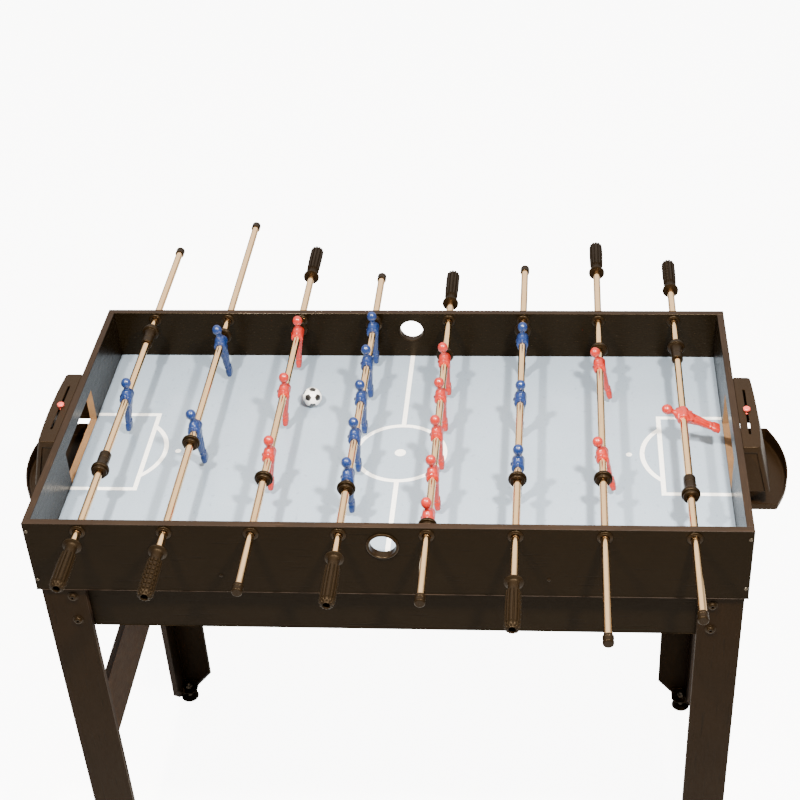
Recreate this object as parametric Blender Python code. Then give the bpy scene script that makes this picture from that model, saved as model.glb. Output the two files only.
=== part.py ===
"""A free-standing foosball table: cabinet, legs, eight turning and sliding rods, and a ball.

Metres, +Z up. The origin is on the floor, under the middle of the table's bounding box, with the
length along X and the rods along Y. Every piece hangs on one empty, at the middle of the cabinet's
rim, so the places below count from there: x along the table, y across it, z up from the rim.
"""

import math

import bmesh
import bpy
from mathutils import Vector

# The cabinet
RIM_HEIGHT = 0.990
LENGTH = 1.120
WIDTH = 0.608
BOARD = 0.012
PANEL_DEPTH = 0.136
FIELD_DEPTH = 0.092
APRON_INSET = 0.017
APRON_BOTTOM = -0.228
FIT_GAP = 0.0003

# The openings in it
GOAL_HALF_WIDTH = 0.090
GOAL_HEIGHT = 0.063
SERVE_X = -0.002
SERVE_DEPTH = 0.037
SERVE_HOLE_R = 0.0235
SERVE_RING_R = 0.0208
SERVE_FLANGE_R = 0.0255
SERVE_FLANGE = 0.002

# The goal boxes and the ball trays outside the end panels
HOOD_HALF_WIDTH = 0.097
HOOD_TOP_REACH = 0.028
HOOD_BOTTOM_REACH = 0.0505
HOOD_BULGE = 0.0035
HOOD_DEPTH = 0.093
HOOD_CORNER_R = 0.006
SHELL = 0.0025
SLOT_REACH = 0.0145
SLOT_WIDTH = 0.0038
SLOT_HALF_LENGTH = 0.062
SCORE_REST = 0.004
TRAY_HALF_WIDTH = 0.095
TRAY_SIDE_REACH = 0.0665
TRAY_BULGE = 0.0235
TRAY_TOP = -0.105
TRAY_BOTTOM = -0.132

# The legs and the feet
LEG_WIDTH = 0.070
LEG_INSET = 0.005
LEG_CLEARANCE = 0.006
LEG_CHAMFER_START = 0.031
LEG_CHAMFER_END = 0.076
LEG_CHAMFER_RISE = 0.054
BRACKET_REACH = 0.042
BRACKET_HEIGHT = 0.022
BRACKET_THICKNESS = 0.004
FOOT_PLACE = 0.021
FOOT_R = 0.019
STUD_R = 0.0045
STUD_HOLE_R = 0.0055
NUT_R = 0.0085
NUT_THICKNESS = 0.005
STRETCHER_TOP = -0.509
STRETCHER_BOTTOM = -0.638

# The rods. Along a rod, places count from its middle, and the handle is on the positive side.
ROD_DEPTH = 0.015
ROD_PITCH = 0.135
ROD_SHIFT = -0.001
ROD_R = 0.0064
BORE_R = 0.0071
CAP_R = 0.0084
CAP_LENGTH = 0.016
BUSHING_R = 0.0120
BUSHING_BORE_R = 0.0074
BUSHING_FLANGE = 0.0028
HANDLE_R = 0.0128
HANDLE_FLANGE_R = 0.0155
HANDLE_FLANGE = 0.005
ROD_INSIDE_HANDLE = 0.012
BUMPER_R = 0.0150
BUMPER_LENGTH = 0.012
SLEEVE_R = 0.0092
SLEEVE_LENGTH = 0.0495
SLEEVE_FLANGE = 0.016
BALL_R = 0.0174
BALL_PLACE = (-0.1685, 0.136)

# Men's places, handle's flange and tip, and the plain end, for each kind of rod
ONE_MAN = {"men": (0.0,), "flange": 0.387, "tip": 0.485, "end": 0.490}
TWO_MEN = {"men": (-0.127, 0.127), "flange": 0.437, "tip": 0.5385, "end": 0.551}
THREE_MEN = {"men": (-0.177, 0.0, 0.177), "flange": 0.4155, "tip": 0.517, "end": 0.463}
FIVE_MEN = {
    "men": (-0.212, -0.106, 0.0, 0.106, 0.212),
    "flange": 0.399,
    "tip": 0.5035,
    "end": 0.4045,
}

# Kind, team, how far the rod is pushed towards +Y, how far its men's feet swing towards +X, where
# the men's middle sits along the rod, and how far out its near and its far bumper reach
RODS = (
    (ONE_MAN, "blue", 0.051, -5, 0.0, 0.2105, 0.2105),
    (TWO_MEN, "blue", 0.089, 8, 0.0, 0.1735, 0.160),
    (THREE_MEN, "red", 0.026, -3, 0.043, 0.203, 0.247),
    (FIVE_MEN, "blue", 0.042, 2, 0.007, 0.242, 0.2465),
    (FIVE_MEN, "red", -0.050, 5, 0.001, 0.2385, 0.240),
    (THREE_MEN, "blue", 0.011, 0, 0.0395, 0.184, 0.2595),
    (TWO_MEN, "red", 0.020, 17, 0.004, 0.1895, 0.1877),
    (ONE_MAN, "red", 0.008, 66, 0.0, 0.216, 0.2105),
)
HANDLE_SIDE = {"blue": -1, "red": 1}

# A man from the crown of the head to the sole: height over the rod, half depth and half width
MAN = (
    (0.0385, 0.0042, 0.0042),
    (0.0345, 0.0088, 0.0088),
    (0.0245, 0.0092, 0.0092),
    (0.0180, 0.0048, 0.0052),
    (0.0135, 0.0088, 0.0132),
    (-0.0095, 0.0105, 0.0135),
    (-0.0190, 0.0068, 0.0098),
    (-0.0490, 0.0046, 0.0080),
    (-0.0525, 0.0058, 0.0107),
    (-0.0665, 0.0058, 0.0107),
)

ROD_SIDES = 10
ROUND_SIDES = 24
OVERLAP = 0.004

BLACK_BOARD = ("black_board", (0.030, 0.024, 0.018), 0.45, 0.0)
BROWN_BOARD = ("brown_board", (0.070, 0.048, 0.032), 0.50, 0.0)
FIELD_BLUE = ("field_blue", (0.44, 0.53, 0.60), 0.35, 0.0)
BLACK_PLASTIC = ("black_plastic", (0.030, 0.026, 0.022), 0.35, 0.0)
BLACK_RUBBER = ("black_rubber", (0.020, 0.018, 0.016), 0.70, 0.0)
STEEL = ("rod_steel", (0.62, 0.58, 0.52), 0.18, 1.0)
BALL_WHITE = ("ball_white", (0.85, 0.85, 0.82), 0.30, 0.0)
SCORE_RED = ("score_red", (0.75, 0.08, 0.06), 0.35, 0.0)


def clear_scene():
    for obj in list(bpy.data.objects):
        bpy.data.objects.remove(obj, do_unlink=True)


def place_table():
    """The empty at the middle of the rim, set so that the rods' far and near ends are even."""
    reach_far = max(slide + far_reach(kind, team) for kind, team, slide, *_ in RODS)
    reach_near = max(near_reach(kind, team) - slide for kind, team, slide, *_ in RODS)
    rim = bpy.data.objects.new("rim", None)
    rim.location = (0.0, (reach_near - reach_far) / 2, RIM_HEIGHT)
    bpy.context.scene.collection.objects.link(rim)
    return rim


def far_reach(kind, team):
    return kind["tip"] if HANDLE_SIDE[team] > 0 else kind["end"]


def near_reach(kind, team):
    return kind["end"] if HANDLE_SIDE[team] > 0 else kind["tip"]


def material(name, colour, roughness, metallic):
    made = bpy.data.materials.get(name)
    if made:
        return made
    made = bpy.data.materials.new(name)
    made.use_nodes = True
    shader = made.node_tree.nodes["Principled BSDF"]
    shader.inputs["Base Color"].default_value = (*colour, 1.0)
    shader.inputs["Roughness"].default_value = roughness
    shader.inputs["Metallic"].default_value = metallic
    return made


def mesh_from(bm, name):
    bmesh.ops.recalc_face_normals(bm, faces=bm.faces)
    mesh = bpy.data.meshes.new(name)
    bm.to_mesh(mesh)
    bm.free()
    return mesh


def add_skin(bm, rings, closed=False):
    """Faces through rings of points. The two end rings are capped, or joined where it is closed."""
    loops = [[bm.verts.new(point) for point in ring] for ring in rings]
    pairs = list(zip(loops, loops[1:]))
    if closed:
        pairs.append((loops[-1], loops[0]))
    else:
        bm.faces.new(loops[0])
        bm.faces.new(loops[-1])
    for lower, upper in pairs:
        for i in range(len(lower)):
            j = (i + 1) % len(lower)
            bm.faces.new((lower[i], lower[j], upper[j], upper[i]))


def skin(name, rings, closed=False):
    bm = bmesh.new()
    add_skin(bm, rings, closed)
    return mesh_from(bm, name)


def box(name, low, high):
    rings = [
        [(low[0], low[1], z), (high[0], low[1], z), (high[0], high[1], z), (low[0], high[1], z)]
        for z in (low[2], high[2])
    ]
    return skin(name, rings)


def circle(radius, sides, place, axis):
    """A ring of points about a place, square to the Y or Z axis."""
    points = []
    for i in range(sides):
        turn = 2 * math.pi * (i + 0.5) / sides
        u, v = radius * math.cos(turn), radius * math.sin(turn)
        offset = Vector((u, 0.0, v)) if axis == "Y" else Vector((u, v, 0.0))
        points.append(Vector(place) + offset)
    return points


def turned(name, profile, sides=ROD_SIDES, axis="Y", closed=False):
    """A turned piece: the profile gives places along the axis and the radius at each."""
    rings = []
    for along, radius in profile:
        place = (0.0, along, 0.0) if axis == "Y" else (0.0, 0.0, along)
        rings.append(circle(radius, sides, place, axis))
    return skin(name, rings, closed)


def add_piece(rim, name, mesh, look, place=(0.0, 0.0, 0.0), smooth=False):
    piece = bpy.data.objects.new(name, mesh)
    piece.parent = rim
    piece.location = place
    bpy.context.scene.collection.objects.link(piece)
    if not mesh.materials:
        mesh.materials.append(material(*look))
    if smooth:
        mesh.shade_smooth()
        mesh.set_sharp_from_angle(angle=math.radians(40))
    return piece


def work_with(rim, piece, mesh, operation, rotation=0.0):
    """Cuts a helper's shape out of a piece, or joins it on, with a Boolean."""
    helper = bpy.data.objects.new(f"{piece.name}_{operation.lower()}", mesh)
    helper.parent = rim
    helper.location = piece.location
    helper.rotation_euler = (0.0, rotation, 0.0)
    helper.hide_render = True
    helper.display_type = "WIRE"
    bpy.context.scene.collection.objects.link(helper)
    modifier = piece.modifiers.new(operation.title(), "BOOLEAN")
    modifier.operation = operation
    modifier.object = helper
    modifier.solver = "EXACT"


def rod_x(index):
    return (index - (len(RODS) - 1) / 2) * ROD_PITCH + ROD_SHIFT


def build_side_panel(rim, name, side):
    """A long side panel with a bushing round each rod and a hole to serve the ball through."""
    outer = side * WIDTH / 2
    inner = outer - side * BOARD
    low = (-LENGTH / 2, min(inner, outer), -PANEL_DEPTH)
    high = (LENGTH / 2, max(inner, outer), 0.0)
    panel = add_piece(rim, name, box(name, low, high), BLACK_BOARD)
    bushings = bmesh.new()
    bores = bmesh.new()
    for index in range(len(RODS)):
        flanges = (inner - side * BUSHING_FLANGE, outer + side * BUSHING_FLANGE)
        place = (rod_x(index), 0.0, -ROD_DEPTH)
        add_skin(bushings, [along_y(place, BUSHING_R, y, ROD_SIDES) for y in flanges])
        ends = (flanges[0] - side * OVERLAP, flanges[1] + side * OVERLAP)
        add_skin(bores, [along_y(place, BUSHING_BORE_R, y, ROD_SIDES) for y in ends])
    serve = (SERVE_X, 0.0, -SERVE_DEPTH)
    ends = (inner - side * OVERLAP, outer + side * OVERLAP)
    add_skin(bores, [along_y(serve, SERVE_HOLE_R, y, ROUND_SIDES) for y in ends])
    work_with(rim, panel, mesh_from(bushings, f"{name}_bushings"), "UNION")
    work_with(rim, panel, mesh_from(bores, f"{name}_bores"), "DIFFERENCE")


def along_y(place, radius, y, sides):
    return circle(radius, sides, (place[0], y, place[2]), "Y")


def build_serve_ring(rim, name, side):
    """The plastic ring that lines a serving hole, with its flange on the outside."""
    inner = WIDTH / 2 - BOARD
    outer = WIDTH / 2 + FIT_GAP
    sleeve_r = SERVE_HOLE_R - 2 * FIT_GAP
    profile = (
        (side * inner, SERVE_RING_R),
        (side * (outer + SERVE_FLANGE), SERVE_RING_R),
        (side * (outer + SERVE_FLANGE), SERVE_FLANGE_R),
        (side * outer, SERVE_FLANGE_R),
        (side * outer, sleeve_r),
        (side * inner, sleeve_r),
    )
    mesh = turned(name, profile, sides=ROUND_SIDES, closed=True)
    add_piece(rim, name, mesh, BLACK_PLASTIC, (SERVE_X, 0.0, -SERVE_DEPTH), smooth=True)


def build_end_panel(rim, name, end):
    """An end panel between the side panels, with the goal mouth cut down to the field."""
    outer = end * LENGTH / 2
    inner = outer - end * BOARD
    half = WIDTH / 2 - BOARD - FIT_GAP
    low = (min(inner, outer), -half, -PANEL_DEPTH)
    high = (max(inner, outer), half, 0.0)
    panel = add_piece(rim, name, box(name, low, high), BLACK_BOARD)
    low = (low[0] - OVERLAP, -GOAL_HALF_WIDTH, -FIELD_DEPTH)
    high = (high[0] + OVERLAP, GOAL_HALF_WIDTH, GOAL_HEIGHT - FIELD_DEPTH)
    work_with(rim, panel, box(f"{name}_goal", low, high), "DIFFERENCE")


def build_field(rim):
    x = LENGTH / 2 - BOARD - FIT_GAP
    y = WIDTH / 2 - BOARD - FIT_GAP
    mesh = box("playfield", (-x, -y, -FIELD_DEPTH - BOARD), (x, y, -FIELD_DEPTH))
    add_piece(rim, "playfield", mesh, FIELD_BLUE)


def build_aprons(rim):
    """The frame under the field: two long boards, with an end board between them at each end."""
    top = -FIELD_DEPTH - BOARD - FIT_GAP
    outer_x = LENGTH / 2 - APRON_INSET
    outer_y = WIDTH / 2 - APRON_INSET
    for name, side in (("apron_near", -1), ("apron_far", 1)):
        y = sorted((side * outer_y, side * (outer_y - BOARD)))
        mesh = box(name, (-outer_x, y[0], APRON_BOTTOM), (outer_x, y[1], top))
        add_piece(rim, name, mesh, BLACK_BOARD)
    between = outer_y - BOARD - FIT_GAP
    for name, end in (("apron_left", -1), ("apron_right", 1)):
        x = sorted((end * outer_x, end * (outer_x - BOARD)))
        mesh = box(name, (x[0], -between, APRON_BOTTOM), (x[1], between, top))
        add_piece(rim, name, mesh, BLACK_BOARD)


def rounded_outline(reach, bulge, half, corner, z):
    """A plan outline with a straight back at reach 0 and a bowed front with rounded corners."""
    points = [(0.0, -half, z)]
    steps = 3
    for i in range(steps + 1):
        turn = math.radians(90 * i / steps)
        x = reach - corner + corner * math.sin(turn)
        y = -half + corner - corner * math.cos(turn)
        points.append((x, y, z))
    arcs = 6
    for i in range(1, arcs):
        y = (half - corner) * (2 * i / arcs - 1)
        bow = bulge * (1 - (y / (half - corner)) ** 2)
        points.append((reach + bow, y, z))
    points += [(x, -y, z) for x, y, _ in reversed(points[1 : steps + 2])]
    points.append((0.0, half, z))
    return points


def outward(points, end):
    """The points moved to an end panel's outer face, pointing away from the table."""
    start = LENGTH / 2 + FIT_GAP
    return [(end * (start + x), y, z) for x, y, z in points]


def build_hood(rim, name, end):
    """The goal box: an upright shell, open at the back and below, with the scoring slot on top."""
    top = (HOOD_TOP_REACH, HOOD_BULGE, HOOD_HALF_WIDTH, HOOD_CORNER_R)
    bottom = (HOOD_BOTTOM_REACH, HOOD_BULGE, HOOD_HALF_WIDTH, HOOD_CORNER_R)
    rings = [rounded_outline(*top, 0.0), rounded_outline(*bottom, -HOOD_DEPTH)]
    hood = add_piece(rim, name, skin(name, [outward(ring, end) for ring in rings]), BLACK_PLASTIC)
    flare = (HOOD_BOTTOM_REACH - HOOD_TOP_REACH) / HOOD_DEPTH
    half = HOOD_HALF_WIDTH - SHELL
    inside = []
    for depth in (SHELL, HOOD_DEPTH + OVERLAP):
        reach = HOOD_TOP_REACH + flare * depth - SHELL
        ring = rounded_outline(reach, HOOD_BULGE, half, HOOD_CORNER_R - SHELL, -depth)
        ring[0] = (-OVERLAP, *ring[0][1:])
        ring[-1] = (-OVERLAP, *ring[-1][1:])
        inside.append(outward(ring, end))
    work_with(rim, hood, skin(f"{name}_inside", inside), "DIFFERENCE")
    x = sorted(end * (LENGTH / 2 + SLOT_REACH + s * SLOT_WIDTH / 2) for s in (-1, 1))
    low = (x[0], -SLOT_HALF_LENGTH, -SHELL - OVERLAP)
    high = (x[1], SLOT_HALF_LENGTH, OVERLAP)
    slot = box(f"{name}_slot", low, high)
    work_with(rim, hood, slot, "DIFFERENCE")


def build_score_slider(rim, name, end):
    """The bead that keeps score: it rides on the hood, with its stem and clip through the slot."""
    profile = (
        (-0.0068, 0.0038),
        (-0.0048, 0.0038),
        (-0.0048, 0.0018),
        (FIT_GAP, 0.0018),
        (FIT_GAP, 0.0040),
        (0.0016, 0.0060),
        (0.0036, 0.0060),
        (0.0052, 0.0040),
    )
    mesh = turned(name, profile, axis="Z")
    place = (end * (LENGTH / 2 + SLOT_REACH), SCORE_REST, 0.0)
    add_piece(rim, name, mesh, SCORE_RED, place, smooth=True)


def build_tray(rim, name, end):
    """The open scoop below the hood, where a scored ball comes to lie."""
    shape = (TRAY_SIDE_REACH, TRAY_BULGE, TRAY_HALF_WIDTH, SHELL * 2)
    rings = [rounded_outline(*shape, z) for z in (TRAY_TOP, TRAY_BOTTOM)]
    tray = add_piece(rim, name, skin(name, [outward(ring, end) for ring in rings]), BLACK_PLASTIC)
    shape = (TRAY_SIDE_REACH - SHELL, TRAY_BULGE, TRAY_HALF_WIDTH - SHELL, SHELL)
    pocket = []
    for z in (TRAY_TOP + OVERLAP, TRAY_BOTTOM + SHELL):
        ring = rounded_outline(*shape, z)
        ring[0] = (SHELL, *ring[0][1:])
        ring[-1] = (SHELL, *ring[-1][1:])
        pocket.append(outward(ring, end))
    work_with(rim, tray, skin(f"{name}_pocket", pocket), "DIFFERENCE")


def corner_point(end, side, u, v, z):
    """A point that lies u inwards along the table and v across it from a leg's outer edge."""
    x = end * (LENGTH / 2 - LEG_INSET - u)
    y = side * (WIDTH / 2 - LEG_INSET - v)
    return (x, y, z)


def build_leg(rim, name, end, side):
    """An angle-section leg, cut away inside its bottom corner, with a bracket for the foot."""
    wall = BOARD - FIT_GAP
    outline = ((0, 0), (LEG_WIDTH, 0), (LEG_WIDTH, wall), (wall, wall), (wall, LEG_WIDTH), (0, LEG_WIDTH))
    bottom = LEG_CLEARANCE - RIM_HEIGHT
    rings = [
        [corner_point(end, side, u, v, z) for u, v in outline]
        for z in (bottom, -PANEL_DEPTH - FIT_GAP)
    ]
    leg = add_piece(rim, name, skin(name, rings), BLACK_BOARD)
    slope = LEG_CHAMFER_RISE / (LEG_CHAMFER_END - LEG_CHAMFER_START)
    low = LEG_CHAMFER_START - OVERLAP / slope
    high = LEG_CHAMFER_END + LEG_WIDTH / 2
    rise = (high - LEG_CHAMFER_START) * slope
    wedge = ((low, bottom - OVERLAP), (high, bottom - OVERLAP), (high, bottom + rise))
    ends = (-LEG_WIDTH, LEG_WIDTH)
    rings = [[corner_point(end, side, s / 2 + t, s / 2 - t, z) for s, z in wedge] for t in ends]
    work_with(rim, leg, skin(f"{name}_chamfer", rings), "DIFFERENCE")
    edge = wall - OVERLAP
    z = bottom + BRACKET_HEIGHT
    square = ((edge, edge), (BRACKET_REACH, edge), (BRACKET_REACH, BRACKET_REACH), (edge, BRACKET_REACH))
    rings = [
        [corner_point(end, side, u, v, height) for u, v in square]
        for height in (z, z + BRACKET_THICKNESS)
    ]
    work_with(rim, leg, skin(f"{name}_bracket", rings), "UNION")
    rings = [
        circle(STUD_HOLE_R, ROD_SIDES, corner_point(end, side, FOOT_PLACE, FOOT_PLACE, height), "Z")
        for height in (z - OVERLAP, z + BRACKET_THICKNESS + OVERLAP)
    ]
    work_with(rim, leg, skin(f"{name}_stud_hole", rings), "DIFFERENCE")


def build_foot(rim, name, end, side):
    """A levelling foot: a disc on the floor, and a stud with a nut on each side of the bracket."""
    disc_top = LEG_CLEARANCE - FIT_GAP
    under = LEG_CLEARANCE + BRACKET_HEIGHT - FIT_GAP
    over = LEG_CLEARANCE + BRACKET_HEIGHT + BRACKET_THICKNESS + FIT_GAP
    profile = (
        (0.0, FOOT_R - 0.002),
        (0.002, FOOT_R),
        (disc_top, FOOT_R),
        (disc_top, STUD_R),
        (under - NUT_THICKNESS, STUD_R),
        (under - NUT_THICKNESS, NUT_R),
        (under, NUT_R),
        (under, STUD_R),
        (over, STUD_R),
        (over, NUT_R),
        (over + NUT_THICKNESS, NUT_R),
        (over + NUT_THICKNESS, STUD_R),
        (over + 2 * NUT_THICKNESS, STUD_R),
    )
    place = corner_point(end, side, FOOT_PLACE, FOOT_PLACE, -RIM_HEIGHT)
    add_piece(rim, name, turned(name, profile, axis="Z"), BLACK_RUBBER, place, smooth=True)


def build_stretcher(rim, name, end):
    """The board between the near and the far leg of one end."""
    x = sorted(end * (LENGTH / 2 - LEG_INSET - depth) for depth in (0.0, BOARD - FIT_GAP))
    half = WIDTH / 2 - LEG_INSET - LEG_WIDTH - FIT_GAP
    mesh = box(name, (x[0], -half, STRETCHER_BOTTOM), (x[1], half, STRETCHER_TOP))
    add_piece(rim, name, mesh, BROWN_BOARD)


def octagon(depth, width, place, height):
    """A ring round a man's body: a rectangle with its corners cut."""
    cut = 0.45
    inner_x, inner_y = depth * cut, width * cut
    corners = (
        (depth, inner_y),
        (inner_x, width),
        (-inner_x, width),
        (-depth, inner_y),
        (-depth, -inner_y),
        (-inner_x, -width),
        (inner_x, -width),
        (depth, -inner_y),
    )
    return [(x, place + y, height) for x, y in corners]


def build_rod(rim, index, kind, team, slide, swing, shift):
    """A steel rod with its cap and its men, turning and sliding on its own middle line."""
    name = f"rod_{index + 1}"
    side = HANDLE_SIDE[team]
    profile = (
        (side * (kind["tip"] - ROD_INSIDE_HANDLE), ROD_R),
        (-side * (kind["end"] - CAP_LENGTH), ROD_R),
        (-side * (kind["end"] - CAP_LENGTH), CAP_R),
        (-side * kind["end"], CAP_R),
    )
    place = (rod_x(index), slide, -ROD_DEPTH)
    rod = add_piece(rim, name, turned(name, profile), STEEL, place, smooth=True)
    turn = -math.radians(swing)
    rod.rotation_euler = (0.0, turn, 0.0)
    men = bmesh.new()
    for man in kind["men"]:
        add_skin(men, [octagon(depth, width, man + shift, height) for height, depth, width in MAN])
    work_with(rim, rod, mesh_from(men, f"{name}_men"), "UNION", rotation=turn)


def build_handle(rim, index, kind, team, slide, swing):
    """The moulded grip, pushed over the rod's end as far as its flange."""
    name = f"handle_{index + 1}"
    side = HANDLE_SIDE[team]
    flange, tip = kind["flange"], kind["tip"]
    profile = (
        (side * flange, BORE_R),
        (side * flange, HANDLE_FLANGE_R),
        (side * (flange + HANDLE_FLANGE), HANDLE_FLANGE_R),
        (side * (flange + 2 * HANDLE_FLANGE), HANDLE_R - 0.0014),
        (side * (flange + 3 * HANDLE_FLANGE), HANDLE_R),
        (side * (tip - 0.004), HANDLE_R),
        (side * tip, HANDLE_R - 0.002),
        (side * tip, BORE_R),
    )
    place = (rod_x(index), slide, -ROD_DEPTH)
    mesh = turned(name, profile, closed=True)
    handle = add_piece(rim, name, mesh, BLACK_RUBBER, place, smooth=True)
    handle.rotation_euler = (0.0, -math.radians(swing), 0.0)


def build_bumper(rim, index, kind, slide, side, face):
    """The ring that stops the men short of a side panel. A goalkeeper's rod has a long sleeve."""
    word = "near" if side < 0 else "far"
    name = f"bumper_{word}_{index + 1}"
    if kind is ONE_MAN:
        step = face - SLEEVE_FLANGE
        profile = (
            (side * (face - SLEEVE_LENGTH), BORE_R),
            (side * face, BORE_R),
            (side * face, BUMPER_R),
            (side * step, BUMPER_R),
            (side * step, SLEEVE_R),
            (side * (face - SLEEVE_LENGTH), SLEEVE_R),
        )
    else:
        profile = (
            (side * (face - BUMPER_LENGTH), BORE_R),
            (side * face, BORE_R),
            (side * face, BUMPER_R),
            (side * (face - BUMPER_LENGTH), BUMPER_R),
        )
    place = (rod_x(index), slide, -ROD_DEPTH)
    mesh = turned(name, profile, closed=True)
    add_piece(rim, name, mesh, BLACK_RUBBER, place, smooth=True)


def build_ball(rim):
    bm = bmesh.new()
    bmesh.ops.create_icosphere(bm, subdivisions=3, radius=BALL_R)
    place = (*BALL_PLACE, BALL_R + FIT_GAP - FIELD_DEPTH)
    add_piece(rim, "ball", mesh_from(bm, "ball"), BALL_WHITE, place, smooth=True)


def build_cabinet(rim):
    build_field(rim)
    build_aprons(rim)
    for word, side in (("near", -1), ("far", 1)):
        build_side_panel(rim, f"side_panel_{word}", side)
        build_serve_ring(rim, f"serve_ring_{word}", side)
    for word, end in (("left", -1), ("right", 1)):
        build_end_panel(rim, f"end_panel_{word}", end)
        build_hood(rim, f"goal_hood_{word}", end)
        build_tray(rim, f"ball_tray_{word}", end)
        build_score_slider(rim, f"score_slider_{word}", end)
        build_stretcher(rim, f"stretcher_{word}", end)
        for place, side in (("near", -1), ("far", 1)):
            build_leg(rim, f"leg_{word}_{place}", end, side)
            build_foot(rim, f"levelling_foot_{word}_{place}", end, side)


def build_rods(rim):
    for index, (kind, team, slide, swing, shift, near, far) in enumerate(RODS):
        build_rod(rim, index, kind, team, slide, swing, shift)
        build_handle(rim, index, kind, team, slide, swing)
        build_bumper(rim, index, kind, slide, -1, near)
        build_bumper(rim, index, kind, slide, 1, far)


def main():
    clear_scene()
    rim = place_table()
    build_cabinet(rim)
    build_rods(rim)
    build_ball(rim)


main()
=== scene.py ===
"""The looks of a foosball table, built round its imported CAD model.

Places are counted from the middle of the cabinet's rim: x along the table, y across it from the
near side to the far one, z up. A rod's own pieces count y from the middle of its men.
"""

import math

import bmesh
import bpy
from bpy.props import FloatProperty, FloatVectorProperty, IntProperty, PointerProperty
from mathutils import Euler, Matrix, Vector


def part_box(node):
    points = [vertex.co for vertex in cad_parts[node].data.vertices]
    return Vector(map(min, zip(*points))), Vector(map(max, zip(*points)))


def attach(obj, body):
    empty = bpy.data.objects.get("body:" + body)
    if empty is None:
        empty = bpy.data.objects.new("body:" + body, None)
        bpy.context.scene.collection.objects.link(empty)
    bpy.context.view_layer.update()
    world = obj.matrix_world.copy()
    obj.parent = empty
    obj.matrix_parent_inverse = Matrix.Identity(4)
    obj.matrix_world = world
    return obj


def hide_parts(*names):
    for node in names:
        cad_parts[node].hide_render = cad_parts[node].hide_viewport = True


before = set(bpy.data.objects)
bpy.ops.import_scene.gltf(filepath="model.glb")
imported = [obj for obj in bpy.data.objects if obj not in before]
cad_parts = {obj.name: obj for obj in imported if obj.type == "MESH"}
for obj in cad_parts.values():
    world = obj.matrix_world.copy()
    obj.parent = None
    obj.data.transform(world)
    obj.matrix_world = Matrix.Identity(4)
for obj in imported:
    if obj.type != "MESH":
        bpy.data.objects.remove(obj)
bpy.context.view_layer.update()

bl_info = {
    "name": "Foosball table",
    "version": (1, 0, 0),
    "blender": (4, 5, 0),
    "location": "View3D > Sidebar > Foosball",
    "description": "Builds the boards, rods, men, goals, legs and stage of a foosball table",
    "category": "Object",
}

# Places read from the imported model
FIELD_LOW, FIELD_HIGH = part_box("playfield")
RIM = Vector((0.0, (FIELD_LOW.y + FIELD_HIGH.y) / 2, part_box("end_panel_left")[1].z))


def box_from_rim(node):
    """A CAD node's lowest and highest corners, counted from the middle of the rim."""
    low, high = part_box(node)
    return low - RIM, high - RIM


# A board, the gap between touching pieces, and how far a cutter reaches past what it cuts
BOARD = 0.012
FIT_GAP = 0.0003
OVERCUT = 0.004
HALF_LENGTH = box_from_rim("end_panel_right")[1].x
HALF_WIDTH = box_from_rim("end_panel_right")[1].y + FIT_GAP + BOARD
PANEL_BOTTOM = box_from_rim("end_panel_right")[0].z
FIELD_TOP = box_from_rim("playfield")[1].z
FLOOR = -RIM.z

# The openings in the cabinet
GOAL_HALF_WIDTH = 0.090
GOAL_TOP = -0.029
SERVE_LOW, SERVE_HIGH = box_from_rim("serve_ring_near")
SERVE = (SERVE_LOW + SERVE_HIGH) / 2
SERVE_HOLE_R = 0.0235
BUSHING_HOLE_R = 0.0088

# The goal boxes and the scoops below them
HOOD_TOP_REACH = 0.028
HOOD_BOTTOM_REACH = 0.0505
HOOD_BULGE = 0.0035
HOOD_HALF_WIDTH = 0.097
HOOD_DEPTH = 0.093
HOOD_CORNER_R = 0.006
HOOD_SIDE_WALL = 0.0055
SHELL_WALL = 0.0025
SLOT_REACH = 0.0145
SLOT_HALF_WIDTH = 0.0019
SLOT_HALF_LENGTH = 0.062
SCOOP_REACH = 0.0665
SCOOP_BULGE = 0.0235
SCOOP_HALF_WIDTH = 0.095
SCOOP_TOP = -0.105
SCOOP_BOTTOM = -0.132
SCOOP_DIP = 0.013

# The legs and the feet
LEG_WIDTH = 0.070
LEG_INSET = 0.005
LEG_CLEARANCE = 0.006
LEG_BOTTOM = FLOOR + LEG_CLEARANCE
LEG_CUT_START = 0.031
LEG_CUT_REACH = 0.111
LEG_CUT_SLOPE = 0.054 / 0.045
BRACKET_HEIGHT = 0.022
FOOT_PLACE = 0.021
NUT_R = 0.0085
NUT_THICKNESS = 0.005

# The fasteners' places: in from a leg's edge, down from the rim, along the table and across it
BOLT_PLACE = 0.0485
BOLT_HEIGHTS = (-0.156, -0.207)
PANEL_SCREW_INSET = 0.0052
PANEL_SCREW_HEIGHTS = (-0.016, -0.115)
FIELD_SCREWS_ALONG = (-0.2595, 0.2525)
FIELD_SCREWS_ACROSS = (-0.205, 0.205)
BRACKET_SCREW_PLACE = 0.034
BRACKET_SCREW_RISE = 0.032

# The painted marks: an arc's middle behind its penalty box's front, and the penalty spots
ARC_SET_BACK = 0.062
DOT_REACH = 0.385
DOT_R = 0.0052

# Men's places along a rod, by how many it carries
MEN_PLACES = {
    1: (0.0,),
    2: (-0.127, 0.127),
    3: (-0.177, 0.0, 0.177),
    5: (-0.212, -0.106, 0.0, 0.106, 0.212),
}

# Each rod's men, team, swing in degrees, and where the men's middle is across the table
RODS = (
    (1, "blue", -5, 0.051),
    (2, "blue", 8, 0.089),
    (3, "red", -3, 0.069),
    (5, "blue", 2, 0.049),
    (5, "red", 5, -0.049),
    (3, "blue", 0, 0.0505),
    (2, "red", 17, 0.024),
    (1, "red", 66, 0.008),
)
ROD_NUMBERS = range(1, len(RODS) + 1)
ROD_R = 0.0064
BORE_R = 0.0070

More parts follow.
